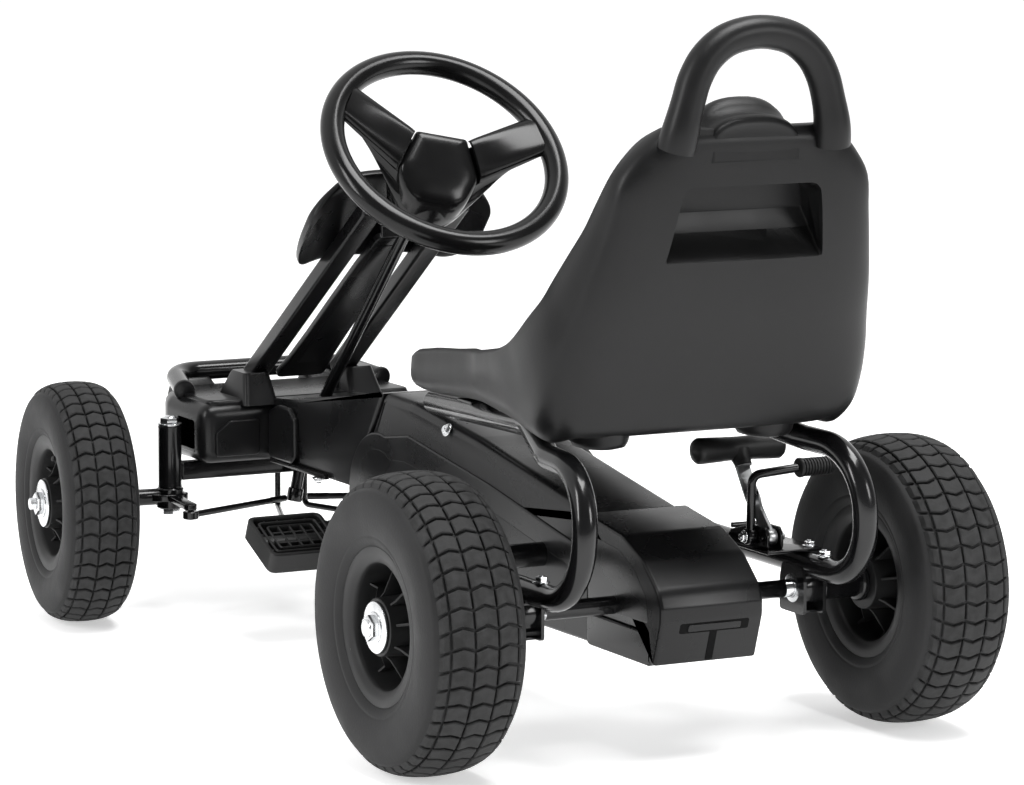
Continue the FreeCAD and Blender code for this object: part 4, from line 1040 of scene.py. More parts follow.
def nose():
    """Front fairing with the strut sockets, the neck behind it and the neck's bolts."""
    build = Build()
    plan = [(121.5, -722.5), (121.5, -815), (108, -850), (78, -875.5), (-78, -875.5),
            (-108, -850), (-121.5, -815), (-121.5, -722.5)]
    build.merge(plate(plan, [16, 34, 30, 34, 34, 30, 34, 16], 153.8, 215.3, None, 14))
    step = [(112, -728), (112, -806), (84, -842), (-84, -842), (-112, -806), (-112, -728)]
    build.merge(plate(step, [10, 20, 20, 20, 20, 10], 205, 218.2, None, 3.0))
    for sign in (1, -1):
        rear = [(60 * sign, 162), (108 * sign, 162), (108 * sign, 186), (92 * sign, 198),
                (60 * sign, 198)]
        face = Matrix(((1, 0, 0, 0), (0, 0, 1, -722.8), (0, 1, 0, 0), (0, 0, 0, 1)))
        build.merge(plate(rear, 5, -1.2, 3.4, face, 1.3))
        end = [(-800, 164), (-742, 164), (-742, 198), (-784, 198), (-800, 188)]
        build.merge(plate(end, 6, 118 * sign - 1.5, 118 * sign + 1.5 + 2.0 * sign, SIDE, 1.0))
        build.merge(wedge(sorted_rect(40 * sign, 78 * sign, -790, -716),
                          sorted_rect(43 * sign, 72 * sign, -776, -738), 212, 243,
                          (0, 0.25), radius=6))
        build.merge(wedge(sorted_rect(50 * sign, 96 * sign, -885 + 11, -828),
                          sorted_rect(54 * sign, 92 * sign, -874, -852), 206, 224,
                          (0, 0), radius=5))
    neck = [(-724, 154), (-724, 218.6), (-657, 224.6), (-594, 235.6), (-470, 254.4),
            (-515.5, 190), (-524.5, 154)]
    build.merge(side_prism(neck, [0, 6, 40, 40, 0.3, 20, 0], 44.8, 3.5))
    flange = [(-720, 153.7), (-720, 158.5), (-594, 158.5), (-590, 153.7)]
    for sign in (1, -1):
        low, high = sorted((44.2 * sign, 49.5 * sign))
        build.merge(plate(flange, 1, low, high, SIDE, 0.8))
        boss = [(-722, 158), (-722, 206), (-700, 214), (-672, 214), (-660, 204), (-660, 166),
                (-668, 158)]
        low, high = sorted((43 * sign, 50.5 * sign))
        build.merge(plate(boss, 7, low, high, SIDE, 3.0))
    make("nose_fairing", build, "body", sharp=40)
    fixings = Build()
    fixings.merge(bolt((49, -604, 154.5), (0, 0, -1), 5, 3.6, 6.8))
    fixings.merge(bolt((-49, -604, 154.5), (0, 0, -1), 5, 3.6, 6.8))
    make("neck_bolts", fixings, "zinc", sharp=30, node=False)


def sorted_rect(xa, xb, ya, yb):
    """A wedge's rectangle with its sides in order."""
    return (min(xa, xb), max(xa, xb), min(ya, yb), max(ya, yb))


def arch(centre, radius, start, end, steps=12):
    """Points of an arc in (y, z)."""
    return [(centre[0] + radius * math.cos(math.radians(start + (end - start) * i / steps)),
             centre[1] + radius * math.sin(math.radians(start + (end - start) * i / steps)))
            for i in range(steps + 1)]


def chain_cover():
    """Long cover over the spine and chain, with a raised panel on each side."""
    build = Build()
    outline = [(-514, 190), (-468.5, 254.6), (-406, 253.6), (-275, 238.6), (-51, 202.6),
               (-51, 84.3), (-480, 80.3), (-510, 90.2), (-529.6, 126), (-529.6, 152)]
    build.merge(side_prism(outline, [30, 4, 60, 60, 1, 3, 22, 14, 14, 3], 44.8, 9.0))
    for sign in (1, -1):
        panel = arch((-476, 150), 66, 205, 78, 14)
        panel += [(-413, 222), (-247, 200), (-60, 168), (-54, 160), (-54, 88), (-470, 84),
                  (-505, 95)]
        low, high = sorted((43 * sign, 46.7 * sign))
        build.merge(plate(panel, 4, low, high, SIDE, 2.2))
        inner = arch((-476, 150), 50, 190, 60, 12)
        inner += [(-420, 196), (-250, 178), (-90, 150), (-90, 110), (-440, 104), (-500, 112)]
        low, high = sorted((45 * sign, 47.0 * sign))
        build.merge(plate(inner, 8, low, high, SIDE, 0.3))
    make("chain_cover", build, "body", sharp=40)
    marks = Build()
    marks.merge(bolt((45.5, -330, 238), (1, 0, 0.5), 4.6, 3.0, 6.4))
    marks.merge(bolt((-45.5, -330, 238), (-1, 0, 0.5), 4.6, 3.0, 6.4))
    make("cover_screws", marks, "zinc", sharp=30, node=False)


def tail_cover():
    """Rounded cover over the driven sprocket, with the mark on its rear face: its sunk T is
    painted shade on a thin dark plate.
    """
    tail = Build()
    outline = [(-49.6, 203), (14, 193.6), (50, 177.6), (78, 153.6), (83.6, 140), (83.6, 127),
               (71, 88.4), (60.4, 88.4), (60, 116), (-49.6, 116)]
    tail.merge(side_prism(outline, [1, 26, 30, 26, 10, 16, 2, 1, 1, 1], 50.7, 3.2))
    for sign in (1, -1):
        inset = [(-44, 122), (-44, 176), (-30, 184), (10, 180), (38, 166), (58, 146), (62, 124)]
        low, high = sorted((50.0 * sign, 51.0 * sign))
        tail.merge(plate(inset, [4, 14, 12, 20, 20, 14, 4], low, high, SIDE, 0.4))
    make("tail_cover", tail, "body", sharp=40)
    # a dark bar with a stem below it, painted shade standing in for a sunk T, and a raised inner
    # bar
    stand = Matrix(((1, 0, 0, 0), (0, 0, 1, 0), (0, 1, 0, 0), (0, 0, 0, 1)))
    face = (Matrix.Translation(Vector((-3, 78.4, 111)))
            @ Matrix.Rotation(math.radians(-18), 4, "X") @ stand)
    mark = plate([(-34, 5.5), (34, 5.5), (34, 15), (-34, 15)], 2, -2.0, 0.3, face, 0.1)
    mark.merge(plate([(-3.6, -22), (3.6, -22), (3.6, 6), (-3.6, 6)], 0.6, -2.0, 0.25, face))
    make("tail_t_painted_shade", mark, "dark", sharp=40, slot="body_plastic", node=False)
    bar = plate([(-26, 7.2), (26, 7.2), (26, 13.4), (-26, 13.4)], 1.5, -2.0, 1.0, face, 0.4)
    make("tail_bar", bar, "body", sharp=40, slot="body_plastic", node=False)


def lower_pan():
    """Shallow pan that closes the tail from below."""
    pan = Build()
    outline = [(-50.2, 86.4), (60, 86.4), (68, 89.4), (70, 115.2), (-50.2, 115.2)]
    pan.merge(side_prism(outline, [6, 3, 3, 2, 1], 50.2, 1.6))
    make("lower_pan", pan, "body", sharp=40)


# ---------------------------------------------------------------- drive

def chain_path(front_radius, rear_radius, front, rear, count):
    """Evenly spaced pins and headings round both sprockets, as (y, z, angle)."""
    span = Vector(rear) - Vector(front)
    length = span.length
    base = math.atan2(span.y, span.x)
    lean = math.asin((front_radius - rear_radius) / length)
    run = length * math.cos(lean)
    arcs = [run, rear_radius * (math.pi - 2 * lean), run, front_radius * (math.pi + 2 * lean)]
    total = sum(arcs)
    result = []
    for k in range(count):
        s = total * k / count
        if s < arcs[0]:
            a = math.pi / 2 - lean
            p = Vector((front_radius * math.cos(a), front_radius * math.sin(a)))
            p += Vector((math.cos(-lean), math.sin(-lean))) * s
            heading = -lean
        elif s < arcs[0] + arcs[1]:
            a = math.pi / 2 - lean - (s - arcs[0]) / rear_radius
            p = Vector((length + rear_radius * math.cos(a), rear_radius * math.sin(a)))
            heading = a - math.pi / 2
        elif s < arcs[0] + arcs[1] + arcs[2]:
            t = s - arcs[0] - arcs[1]
            a = -(math.pi / 2 - lean)
            p = Vector((length + rear_radius * math.cos(a), rear_radius * math.sin(a)))
            p += Vector((-math.cos(lean), -math.sin(lean))) * t
            heading = math.pi + lean
        else:
            t = s - arcs[0] - arcs[1] - arcs[2]
            a = -(math.pi / 2 - lean) - t / front_radius
            p = Vector((front_radius * math.cos(a), front_radius * math.sin(a)))
            heading = a - math.pi / 2
        turn = Matrix.Rotation(base, 2)
        q = turn @ p
        result.append((front[0] + q.x, front[1] + q.y, heading + base))
    return result


def sprocket_build(radius, teeth, bore):
    """Toothed disc with a hub."""
    outline = []
    for k in range(teeth * 8):
        a = 2 * math.pi * k / (teeth * 8)
        wave = 0.5 + 0.5 * math.cos(a * teeth)
        r = radius - 3.2 + 5.6 * wave ** 1.3 - 0.6
        outline.append(Vector((r * math.cos(a), r * math.sin(a))))
    outline = [p * min(1.0, radius / p.length) for p in outline]
    build = prism(ccw(outline), -1.4, 1.4, SIDE, 0.3, 2)
    build.merge(rod((-2.6, 0, 0), (2.6, 0, 0), bore + 7, 32, 0.6))
    return build


def sprockets():
    """Chainring on the crank and driven sprocket on the rear axle."""
    ring = Build().merge(sprocket_build(36.5, 18, 8),
                         Matrix.Translation((CHAIN_X, CRANK_Y, CRANK_Z)))
    make("chainring", ring, "paint", "crank")
    small = Build().merge(sprocket_build(28.4, 14, 8), Matrix.Translation((CHAIN_X, 0, AXLE_Z)))
    make("driven_sprocket", small, "paint", "rear_axle")


def chain():
    """Chain of waisted plates, inner and outer in turn, with a roller at each pin."""
    band = Build()
    pins = chain_path(39.9, 31.7, (CRANK_Y, CRANK_Z), (0, AXLE_Z), 94)
    outline = [(-6.2, -1.9), (-4, -2.7), (0, -1.9), (4, -2.7), (6.2, -1.9), (6.2, 1.9),
               (4, 2.7), (0, 1.9), (-4, 2.7), (-6.2, 1.9)]
    for index, (y, z, angle) in enumerate(pins):
        move = (Matrix.Translation(Vector((CHAIN_X, y, z)))
                @ Matrix.Rotation(angle, 4, "X"))
        wide = 3.3 if index % 2 else 2.3
        for sign in (1, -1):
            low, high = sorted((wide * sign, (wide - 0.9) * sign))
            band.merge(plate(outline, 1.2, low, high, move @ SIDE))
        band.merge(rod((-3.4, 6.2, 0), (3.4, 6.2, 0), 1.4, 10, 0.2), move)
    make("chain", band, "chain", sharp=30)


def arm_point(sign):
    """The pedal pin of a crank arm, from the crank's middle."""
    angle = math.radians(180 + CRANK_REST)
    return Vector((0, sign * CRANK_LENGTH * math.cos(angle),
                   sign * CRANK_LENGTH * math.sin(angle)))


def crank_set():
    """Crank with its two arms and pedal pins, the bracket that carries it, and its cups."""
    crank = Build()
    move = Matrix.Translation((0, CRANK_Y, CRANK_Z))
    crank.merge(rod((-53, 0, 0), (53, 0, 0), 7.95, 36, 1.0))
    for sign in (1, -1):
        point = arm_point(sign)
        slope = math.atan2(point.z, point.y)
        arm = [(-11, -9), (20, -8.5), (60, -6.5), (91, -8), (98, -5), (99.5, 0), (98, 5),
               (91, 8), (60, 6.5), (20, 8.5), (-11, 9)]
        low, high = sorted((47.2 * sign, 52.8 * sign))
        crank.merge(plate(arm, 5, low, high, Matrix.Rotation(slope, 4, "X") @ SIDE, 1.6))
        crank.merge(rod((46.8 * sign, 0, 0), (54.4 * sign, 0, 0), 11.5, 36, 1.0))
        crank.merge(rod((sign * 50, point.y, point.z), (sign * 133, point.y, point.z), 4.95, 28,
                        0.6))
        crank.merge(rod((sign * 47, point.y, point.z), (sign * 53.4, point.y, point.z), 9, 32,
                        0.8))
    make("crank", Build().merge(crank, move), "paint", "crank")
    shell = rod((-28.8, CRANK_Y, CRANK_Z), (33.8, CRANK_Y, CRANK_Z), 19.4, 40, 1.0)
    shell.merge(block((30, 24, 8), (0, CRANK_Y, CRANK_Z + 16), 1.0))
    make("bottom_bracket", shell, "paint")
    cups = Build()
    for sign in (1, -1):
        cups.merge(lathe([(45.4, 15.0), (46.4, 17.5), (46.4, 20.4), (45.6, 21.4),
                          (44.2, 21.8), (42.5, 21.4), (42.5, 15)], 48, closed=True),
                   Matrix.Scale(sign, 4, (1, 0, 0)))
    make("bracket_cups", Build().merge(cups, move), "zinc", sharp=30, node=False)


def pedals():
    """Both pedals on their pins."""
    for side, sign in (("left", 1), ("right", -1)):
        spot = Vector((96 * sign, CRANK_Y, CRANK_Z)) + arm_point(sign)
        turn = Matrix.Translation(spot) @ Matrix.Rotation(math.radians(PEDAL_TILT), 4, "X")
        make("pedal_" + side, Build().merge(pedal_build(), turn), "pedal", "pedal_" + side, 36)


def frame_ring(outer, inner, low, high):
    """A flat frame between two rounded rectangles, given as (half x, half y, radius)."""
    def loop(spec):
        hx, hy, r = spec
        return ccw(arc_outline([(-hx, -hy), (hx, -hy), (hx, hy), (-hx, hy)], r, 6))

    one, two = loop(outer), loop(inner)
    soft = min(1.0, (high - low) * 0.3)
    count = len(one)

    def ring(points, z, inset):
        return [Vector((*(p * (1 - inset / p.length)), z)) for p in points]

    rings = [ring(one, low, soft), ring(one, low + soft, 0), ring(one, high - soft, 0),
             ring(one, high, soft), ring(two, high, -soft), ring(two, high - soft, 0),
             ring(two, low + soft, 0), ring(two, low, -soft)]
    return Build().add([p for r in rings for p in r], ring_faces(8, count, True))


def pedal_build():
    """Moulded platform: deep tray with nested frames and cross ribs on both faces."""
    build = frame_ring((39.7, 34.6, 9), (35.2, 30.1, 6), -10.6, 10.6)
    build.merge(frame_ring((31.4, 26.2, 5), (28.8, 23.6, 4), -9.4, 9.4))
    build.merge(frame_ring((24.6, 19.4, 4), (22.4, 17.2, 3), -9.0, 9.0))
    build.merge(block((72, 61, 3.0), (0, 0, 0), 0.6))
    build.merge(rod((-39.6, 0, 0), (39.6, 0, 0), 8.2, 32, 1.0))
    for x in (-12, 0, 12):
        build.merge(block((2.2, 36, 17.0), (x, 0, 0), 0.5))
    for y in (-8.5, 8.5):
        build.merge(block((46, 2.2, 15.0), (0, y, 0), 0.5))
    for x in (-33.3, 33.3):
        for y in (-20, -7, 7, 20):
            build.merge(block((4.6, 2.0, 15.0), (x, y, 0), 0.4))
    for y in (-28.1, 28.1):
        for x in (-22, -8, 8, 22):
            build.merge(block((2.0, 4.6, 15.0), (x, y, 0), 0.4))
    return build


# ---------------------------------------------------------------- seat

SEAT = [
    # underside or back y, z; rim y, z; half width; side wall; base wall; squareness
    (-257.5, 301, -256.5, 310, 117, 10, 4, 4.4),
    (-256.5, 292, -253.0, 318, 121, 11, 12, 5.0),
    (-252.0, 286.5, -245.0, 323.5, 123.5, 12, 14, 5.4),
    (-225, 285.5, -220, 327.5, 125, 12, 14, 5.4),
    (-200, 286.5, -196, 331, 127, 12, 14, 5.2),
    (-150, 291, -148, 336, 131, 12, 13, 5.0),
    (-110, 295, -110, 341, 136, 12, 12, 5.0),
    (-60, 295, -80, 344, 144, 12, 12, 5.0),
    (-20, 292, -48, 349, 150, 12, 12, 5.2),
    (20, 288, -22, 354, 154.5, 12, 12, 6.0),
    (50, 286.5, 0, 362, 157, 13, 12, 7.0),
    (68, 291, 18, 372, 158.5, 14, 13, 7.6),
    (79, 312, 38, 388, 158, 14, 14, 7.6),
    (90, 338, 56, 405, 154.5, 15, 16, 7.0),
    (104, 370, 66, 424, 148, 16, 20, 6.4),
    (118, 402, 80, 446, 141.5, 17, 24, 5.8),
    (130, 436, 95, 470, 134, 18, 24, 5.2),
    (139, 470, 104, 491, 128, 18, 22, 4.8),
    (145, 503, 117, 516, 121.5, 17, 20, 4.4),
    (148.5, 530, 118, 533, 108, 14, 20, 4.0),
    (149.5, 545, 120, 546, 94, 10, 20, 3.6),
    (144, 554, 127, 555, 80, 7, 13, 3.2),
]


def spline_rows(rows, per):
    """Catmull-Rom through rows of numbers, with per steps between two rows."""
    result = []
    total = len(rows)
    for i in range(total - 1):
        p0, p1 = rows[max(i - 1, 0)], rows[i]
        p2, p3 = rows[i + 1], rows[min(i + 2, total - 1)]
        for step in range(per):
            t = step / per
            result.append([0.5 * (2 * b + (c - a) * t + (2 * a - 5 * b + 4 * c - d) * t * t
                                  + (3 * b - a - 3 * c + d) * t ** 3)
                           for a, b, c, d in zip(p0, p1, p2, p3)])
    result.append(list(rows[-1]))
    return result


def ease(value, low, high):
    """0 below low, 1 above high, and a smooth step between."""
    t = min(max((value - low) / (high - low), 0.0), 1.0)
    return t * t * (3 - 2 * t)


def seat_ring(row, count=46):
    """One closed ring of the seat's shell: outside, rim, inside, rim."""
    by, bz, ry, rz, half, side, base, square = row
    low, rise = Vector((0, by, bz)), Vector((0, ry - by, rz - bz))
    height = rise.length

    def spot(x, share):
        return low + rise * share + Vector((x, 0, 0))

    outer = []
    for i in range(count + 1):
        a = math.pi * i / count
        c, s = math.cos(a), math.sin(a)
        x = half * math.copysign(abs(c) ** (2 / square), c)
        share = 1 - s ** (2 / square)
        skirt = 9 * ease(abs(x) / half, 0.74, 0.90) * (1 - share) ** 2
        skirt *= ease(by, -190, -60) * (1 - ease(by, 50, 70))
        outer.append(spot(x, share) - Vector((0, 0, skirt)))
    inner = []
    reach = max(half - side, 20)
    floor = min(base / height, 0.9)
    for i in range(count + 1):
        a = math.pi * (1 - i / count)
        c, s = math.cos(a), math.sin(a)
        x = reach * math.copysign(abs(c) ** (2 / square), c)
        inner.append(spot(x, 1 - (1 - floor) * s ** (2 / square)))
    lip = min(side * 0.42, 6.0)
    first, last = [], []
    for share in (0.2, 0.5, 0.8):
        bulge = 1 + lip * math.sin(math.pi * share) / height
        first.append(spot(-(half + (reach - half) * share), bulge))
        last.append(spot(half + (reach - half) * (1 - share), bulge))
    return outer + first + inner + last


def apply_boolean(obj, cutter):
    """Cut one object out of another and delete the cutter."""
    mod = obj.modifiers.new("cut", "BOOLEAN")
    mod.operation = "DIFFERENCE"
    mod.solver = "EXACT"
    mod.object = cutter
    depsgraph = bpy.context.evaluated_depsgraph_get()
    mesh = bpy.data.meshes.new_from_object(obj.evaluated_get(depsgraph))
    obj.modifiers.remove(mod)
    obj.data = mesh
    bpy.data.objects.remove(cutter)


def plain_object(name, build):
    """An object with no material, for a cut."""
    mesh = bpy.data.meshes.new(name)
    mesh.from_pydata(row_points(build), [], build.faces)
    obj = link(name, mesh)
    finish_mesh(obj, 38)
    return obj


def pocket_cutter():
    """The hand pocket in the back: upright walls above, a floor that slants in."""
    def outline(top, low, wide_top, wide_low, radius):
        corners = [(-wide_low, low), (wide_low, low), (wide_top, top), (-wide_top, top)]
        return ccw(arc_outline(corners, [3, 3, radius, radius], 6))

    def ring(points, near_y):
        return [Vector((p.x, near_y + (p.y - 470) * 0.2, p.y)) for p in points]

    rings = [ring(outline(507, 434, 66.5, 78, 13), 165),
             ring(outline(506, 438, 66, 77, 13), 141),
             ring(outline(505, 447, 65, 75, 12), 131),
             ring(outline(504, 481, 64, 69, 9), 105)]
    return loft(rings)


def seat_shell():
    """The shell and the liner behind it, both cut by the hand pocket."""
    build = loft([seat_ring(row) for row in spline_rows(SEAT, 4)])
    obj = make("seat_shell", build, "seat", sharp=50)
    lean = Matrix.Translation(Vector((0, 118.5, 470))) @ Matrix.Rotation(
        math.radians(-11.3), 4, "X")
    liner = make("seat_liner", block((172, 34, 90), (0, 0, 0), 9.0, lean), "seat", sharp=50,
                 slot="seat_plastic", node=False)
    for piece in (obj, liner):
        apply_boolean(piece, plain_object("pocket", pocket_cutter()))
        piece.data.polygons.foreach_set("use_smooth", [True] * len(piece.data.polygons))
        piece.data.set_sharp_from_angle(angle=math.radians(50))


def seat_handle():
    """Carrying loop over the backrest, thicker at its feet."""
    half_path = [(75, 145, 538), (72.5, 149.5, 556), (67.5, 151.2, 577), (61, 151.6, 597),
                 (49, 151.6, 615), (29, 151.6, 628.5), (0, 151.6, 633.6)]
    rows = half_path + [(-x, y, z) for x, y, z in reversed(half_path[:-1])]
    path = [Vector(row) for row in spline_rows(rows, 6)]
    handle = sweep(path, 14.2, 32, lambda s: 1 + 0.16 * (1 - ease(min(s, 1 - s), 0.0, 0.16)))
    make("seat_handle", handle, "seat", sharp=50, slot="seat_plastic", node=False)


def seat_hump():
    """Rounded swelling of the backrest's top, below the handle."""
    hump = []
    for y, top, wide, base in ((149.0, 548, 39, 528), (148.9, 556, 41.5, 526),
                               (147.4, 561.5, 43.5, 526), (143, 564.5, 44, 526),
                               (137, 564.5, 44, 526), (132, 566, 44.5, 526),
                               (127, 571.5, 45, 526), (123, 576, 46, 526),
                               (118, 578, 46.5, 526), (113, 577, 46, 526),
                               (110, 573, 44.5, 528), (109, 564, 41, 533)):
        loop = []
        for i in range(25):
            a = math.pi * i / 24
            shape = math.sin(a) ** 0.9
            x = wide * math.copysign(abs(math.cos(a)) ** 0.8, math.cos(a))
            loop.append(Vector((x, y, 540 + (top - 540) * shape)))
        loop.append(Vector((-wide, y, base)))
        loop.append(Vector((wide, y, base)))
        hump.append(loop)
    make("seat_hump", loft(hump), "seat", sharp=50, slot="seat_plastic", node=False)


def seat_feet():
    """Two round feet below the shell, and the straps that carry it."""
    feet = Build()
    for x, y, wide, deep in ((86, 36, 26, 30), (-78, 34, 26, 30)):
        rings = []
        for z, share in ((300, 1.12), (290, 1.0), (282, 0.94), (277.5, 0.84), (275.6, 0.6)):
            rings.append([Vector((x + wide * share * math.cos(2 * math.pi * k / 28),
                                  y + deep * share * math.sin(2 * math.pi * k / 28), z))
                          for k in range(28)])
        feet.merge(loft(rings))
    make("seat_feet", feet, "seat", sharp=50, slot="seat_plastic", node=False)
    straps = block((200, 28, 2.9), (0, -190, 287), 0.8)
    straps.merge(block((250, 28, 2.5), (0, -62, 296), 0.8))
    make("seat_straps", straps, "paint")


# ---------------------------------------------------------------- levers

def lever_plate():
    """Plate of the two levers with its tabs, pins, wire stop and bolts."""
    base = block((56, 90, 2.9), (-125, -33, 164.9), 0.8)
    for x in (-103, -117):
        tab = [(-69, 166), (3.5, 166), (3.5, 178), (-1, 185.6), (-24, 185.6), (-60, 176)]
        base.merge(plate(tab, 4, x - 1.4, x + 1.4, SIDE, 0.5))
    base.merge(rod((-120, -6, 176), (-100, -6, 176), 2.95, 24, 0.4))
    base.merge(rod((-105, -18, 176), (-88, -18, 176), 2.95, 24, 0.4))
    base.merge(tube([(-139, -74, 166), (-139, -74, 176), (-112, -76, 176)], [4], 2.4, 14))
    make("lever_plate", base, "paint")
    pins = bolt((-118.4, -6, 176), (-1, 0, 0), 4.6, 3.4, 6.2)
    pins.merge(bolt((-91.5, -18, 176), (1, 0, 0), 4.2, 3.0, 5.6))
    pins.merge(bolt((-146, -64, 166.2), (0, 0, 1), 4.6, 3.4, 6.2))
    pins.merge(bolt((-146, 2, 166.2), (0, 0, 1), 4.6, 3.4, 6.2))
    make("lever_bolts", pins, "zinc", sharp=30, node=False)


def brake_lever():
    """Steel blade that twists a quarter turn on its way up to the grip."""
    low, high = Vector((-110, -7, 178)), Vector((-110, -57, 236))
    rings = []
    for step in range(25):
        share = step / 24
        centre = low + (high - low) * share
        twist = math.radians(88) * ease(share, 0.30, 0.72)
        centre = centre + Vector((2.2, 0, 0)) * math.sin(math.pi * share)
        along_dir = (high - low).normalized()
        flat = Vector((0, -along_dir.z, along_dir.y))
        out = Vector((1, 0, 0))
        wide = flat * math.cos(twist) + out * math.sin(twist)
        thin = out * math.cos(twist) - flat * math.sin(twist)
        loop = []
        for u, v in ((-6.6, -1.6), (-6.9, 0), (-6.6, 1.6), (0, 1.9), (6.6, 1.6), (6.9, 0),
                     (6.6, -1.6), (0, -1.9)):
            loop.append(centre + wide * u + thin * v)
        rings.append(loop)
    blade = loft(rings)
    blade.merge(rod((-114.4, -6, 176), (-105.6, -6, 176), 7.4, 32, 0.8))
    make("brake_lever", blade, "steel", "brake_lever")


def brake_grip():
    """T grip: a swollen bar with round ends on a short neck."""
    rings = []
    length = 94.6
    for step in range(33):
        share = step / 32
        x = -157.3 + length * share
        edge = min(share, 1 - share) * length
        cap = math.sqrt(max(0.0, 1 - (1 - min(edge / 7.0, 1.0)) ** 2))
        swell = 1 + 0.06 * math.cos(2 * math.pi * share)
        size = max(cap * swell, 0.10)
        loop = []
        for k in range(28):
            a = 2 * math.pi * k / 28
            bulge = 11.9 if math.sin(a) < 0 else 11.2
            loop.append(Vector((x, -63 + 11.3 * size * math.cos(a) * 0.98,
                                248 + bulge * size * math.sin(a) * 0.98)))
        rings.append(loop)
    grip = loft(rings)
    grip.merge(sweep([Vector((-110, -53, 233)), Vector((-110, -54.5, 236)),
                      Vector((-110, -58, 240)), Vector((-110, -61, 245))], 9.0, 28,
                     lambda s: 0.86 + 0.35 * s * s))
    make("brake_grip", grip, "grip", "brake_lever", 46)


def gear_lever():
    """Bent rod with a ribbed grip."""
    bar = tube([(-97, -18, 176), (-97, -16, 231), (-141, -12, 235)], [9], 3.95, 24, 10)
    bar.merge(rod((-101.2, -18, 176), (-92.4, -18, 176), 7.4, 32, 0.8))
    make("gear_lever", bar, "paint", "gear_lever")
    profile = [(0, 5.0), (0.2, 8.2), (1.2, 8.9), (3.0, 8.9), (3.4, 7.4)]
    for k in range(9):
        x = 4.2 + k * 3.0
        profile += [(x, 7.2), (x + 0.5, 8.3), (x + 1.9, 8.3), (x + 2.4, 7.2)]
    profile += [(31.4, 8.2), (33.2, 8.0), (33.9, 6.0)]
    make("gear_grip", Build().merge(lathe(profile, 36), along((-141.6, -12, 235), (-1, 0, 0))),
         "grip", "gear_lever", 40)


# ---------------------------------------------------------------- studio

def stage():
    """Plain pale floor."""
    mat, nodes, links, shader = new_material("floor_paper")
    grain = noise_node(nodes, links, 3.0, 4.0)
    links.new(blend_colors(nodes, links, grain, (0.90, 0.90, 0.90), (0.93, 0.93, 0.93)),
              shader.inputs["Base Color"])
    links.new(remap(nodes, links, grain, 0.85, 0.95), shader.inputs["Roughness"])
    shader.inputs["Specular IOR Level"].default_value = 0.1
    shader.inputs["Emission Color"].default_value = (1, 1, 1, 1)
    shader.inputs["Emission Strength"].default_value = 0.5
    mesh = bpy.data.meshes.new("floor")
    size = 45
    mesh.from_pydata([(-size, -size, 0), (size, -size, 0), (size, size, 0), (-size, size, 0)],
                     [], [(0, 1, 2, 3)])
    mesh.materials.append(mat)
    floor = link("floor", mesh)
    floor.location = (0, 0, -0.0005)


def area_light(name, place, target, size, power):
    """A rectangular light that faces a target."""
    light = bpy.data.lights.new(name, "AREA")
    light.shape = "RECTANGLE"
    light.size, light.size_y = size
    light.energy = power
    obj = link(name, light)
    obj.location = Vector(place)
    heading = Vector(target) - Vector(place)
    obj.rotation_mode = "QUATERNION"
    obj.rotation_quaternion = heading.to_track_quat("-Z", "Y")


def lights():
    """White world, brighter towards the kart's front, and three soft lights."""
    world = bpy.data.worlds.new("studio")
    bpy.context.scene.world = world
    world.use_nodes = True
    nodes, links = world.node_tree.nodes, world.node_tree.links
    back = nodes["Background"]
    back.inputs["Color"].default_value = (1, 1, 1, 1)
    where = nodes.new("ShaderNodeTexCoord")
    axes = nodes.new("ShaderNodeSeparateXYZ")
    links.new(where.outputs["Generated"], axes.inputs[0])
    fade = nodes.new("ShaderNodeMapRange")
    fade.interpolation_type = "SMOOTHSTEP"
    fade.inputs["From Min"].default_value = -0.35
    fade.inputs["From Max"].default_value = 0.25
    fade.inputs["To Min"].default_value = 1.0
    fade.inputs["To Max"].default_value = 0.22
    links.new(axes.outputs["Y"], fade.inputs["Value"])
    links.new(fade.outputs["Result"], back.inputs["Strength"])
    bpy.context.scene.view_settings.view_transform = "Standard"
    area_light("key", (-0.4, 0.9, 3.0), (0, 0.0, 0.2), (2.2, 1.2), 110)
    area_light("left", (3.4, 0.6, 1.9), (0, 0.0, 0.2), (0.7, 2.2), 60)
    area_light("back", (-1.6, 3.2, 1.5), (0, 0.2, 0.3), (0.9, 1.2), 35)


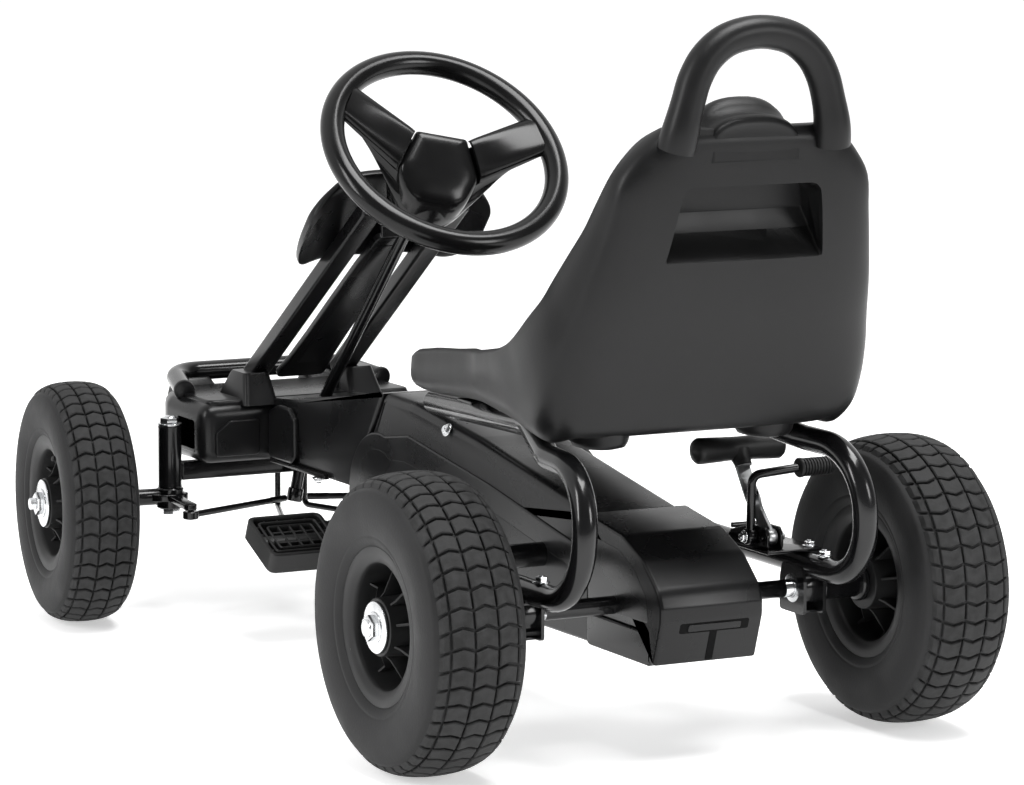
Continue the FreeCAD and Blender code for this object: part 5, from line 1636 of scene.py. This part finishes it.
def camera():
    """Long lens behind the kart and to its left."""
    data = bpy.data.cameras.new("camera")
    data.sensor_width = 36
    data.lens = 157.921875
    obj = link("camera", data)
    right = Vector((-0.88628, 0.46314, 0.00322)).normalized()
    up = Vector((-0.06250, -0.12647, 0.99000)).normalized()
    toward = right.cross(up).normalized()
    up = toward.cross(right)
    obj.matrix_world = Matrix(((right.x, up.x, toward.x, 1.906),
                               (right.y, up.y, toward.y, 3.355 + AXLE_Y / 1000),
                               (right.z, up.z, toward.z, 0.8617), (0, 0, 0, 1)))
    data.clip_start, data.clip_end = 0.1, 120
    bpy.context.scene.camera = obj


def inner_tubes():
    """Inner tubes, seen only when the tyres are off."""
    rear = [((x, 0, AXLE_Z), 0) for x in (REAR_WHEEL_X, -REAR_WHEEL_X)]
    pieces = (("rear_inner_tubes", "rear_axle", rear,
               REAR_TYRE),)
    for side, sign in (("left", 1), ("right", -1)):
        turn = place_wheel((KINGPIN_X * sign, KINGPIN_Y, STUB_Z), STEER_REST)
        hub = turn @ Vector((WHEEL_OFFSET * sign, 0, 0))
        pieces += (("front_inner_tube_" + side, "front_wheel_" + side,
                    [((hub.x, hub.y, hub.z), STEER_REST)], FRONT_TYRE),)
    for name, body, spots, (width, dia, bead) in pieces:
        build = Build()
        low, high = bead + 11, dia / 2 - 17
        half = width / 2 - 13
        loop = []
        for k in range(24):
            a = 2 * math.pi * k / 24
            loop.append((half * math.copysign(abs(math.cos(a)) ** 0.7, math.cos(a)),
                         (low + high) / 2 + (high - low) / 2 * math.sin(a)))
        for at, heading in spots:
            build.merge(lathe(loop, 72, closed=True), place_wheel(at, heading))
        make(name, build, "tube", body, 40)


wheels()
rear_axle()
inner_tubes()
knuckles()
tie_rods()
beam()
bumper()
column_struts()
column_panel()
steering_bushes()
shield()
wheel_frame = wheel_matrix()
steering_ring(wheel_frame)
steering_spokes(wheel_frame)
steering_pad(wheel_frame)
steering_shaft()
main_frame()
rear_hoops()
axle_brackets()
nose()
chain_cover()
tail_cover()
lower_pan()
sprockets()
chain()
crank_set()
pedals()
seat_shell()
seat_handle()
seat_hump()
seat_feet()
lever_plate()
brake_lever()
brake_grip()
gear_lever()
stage()
lights()
camera()
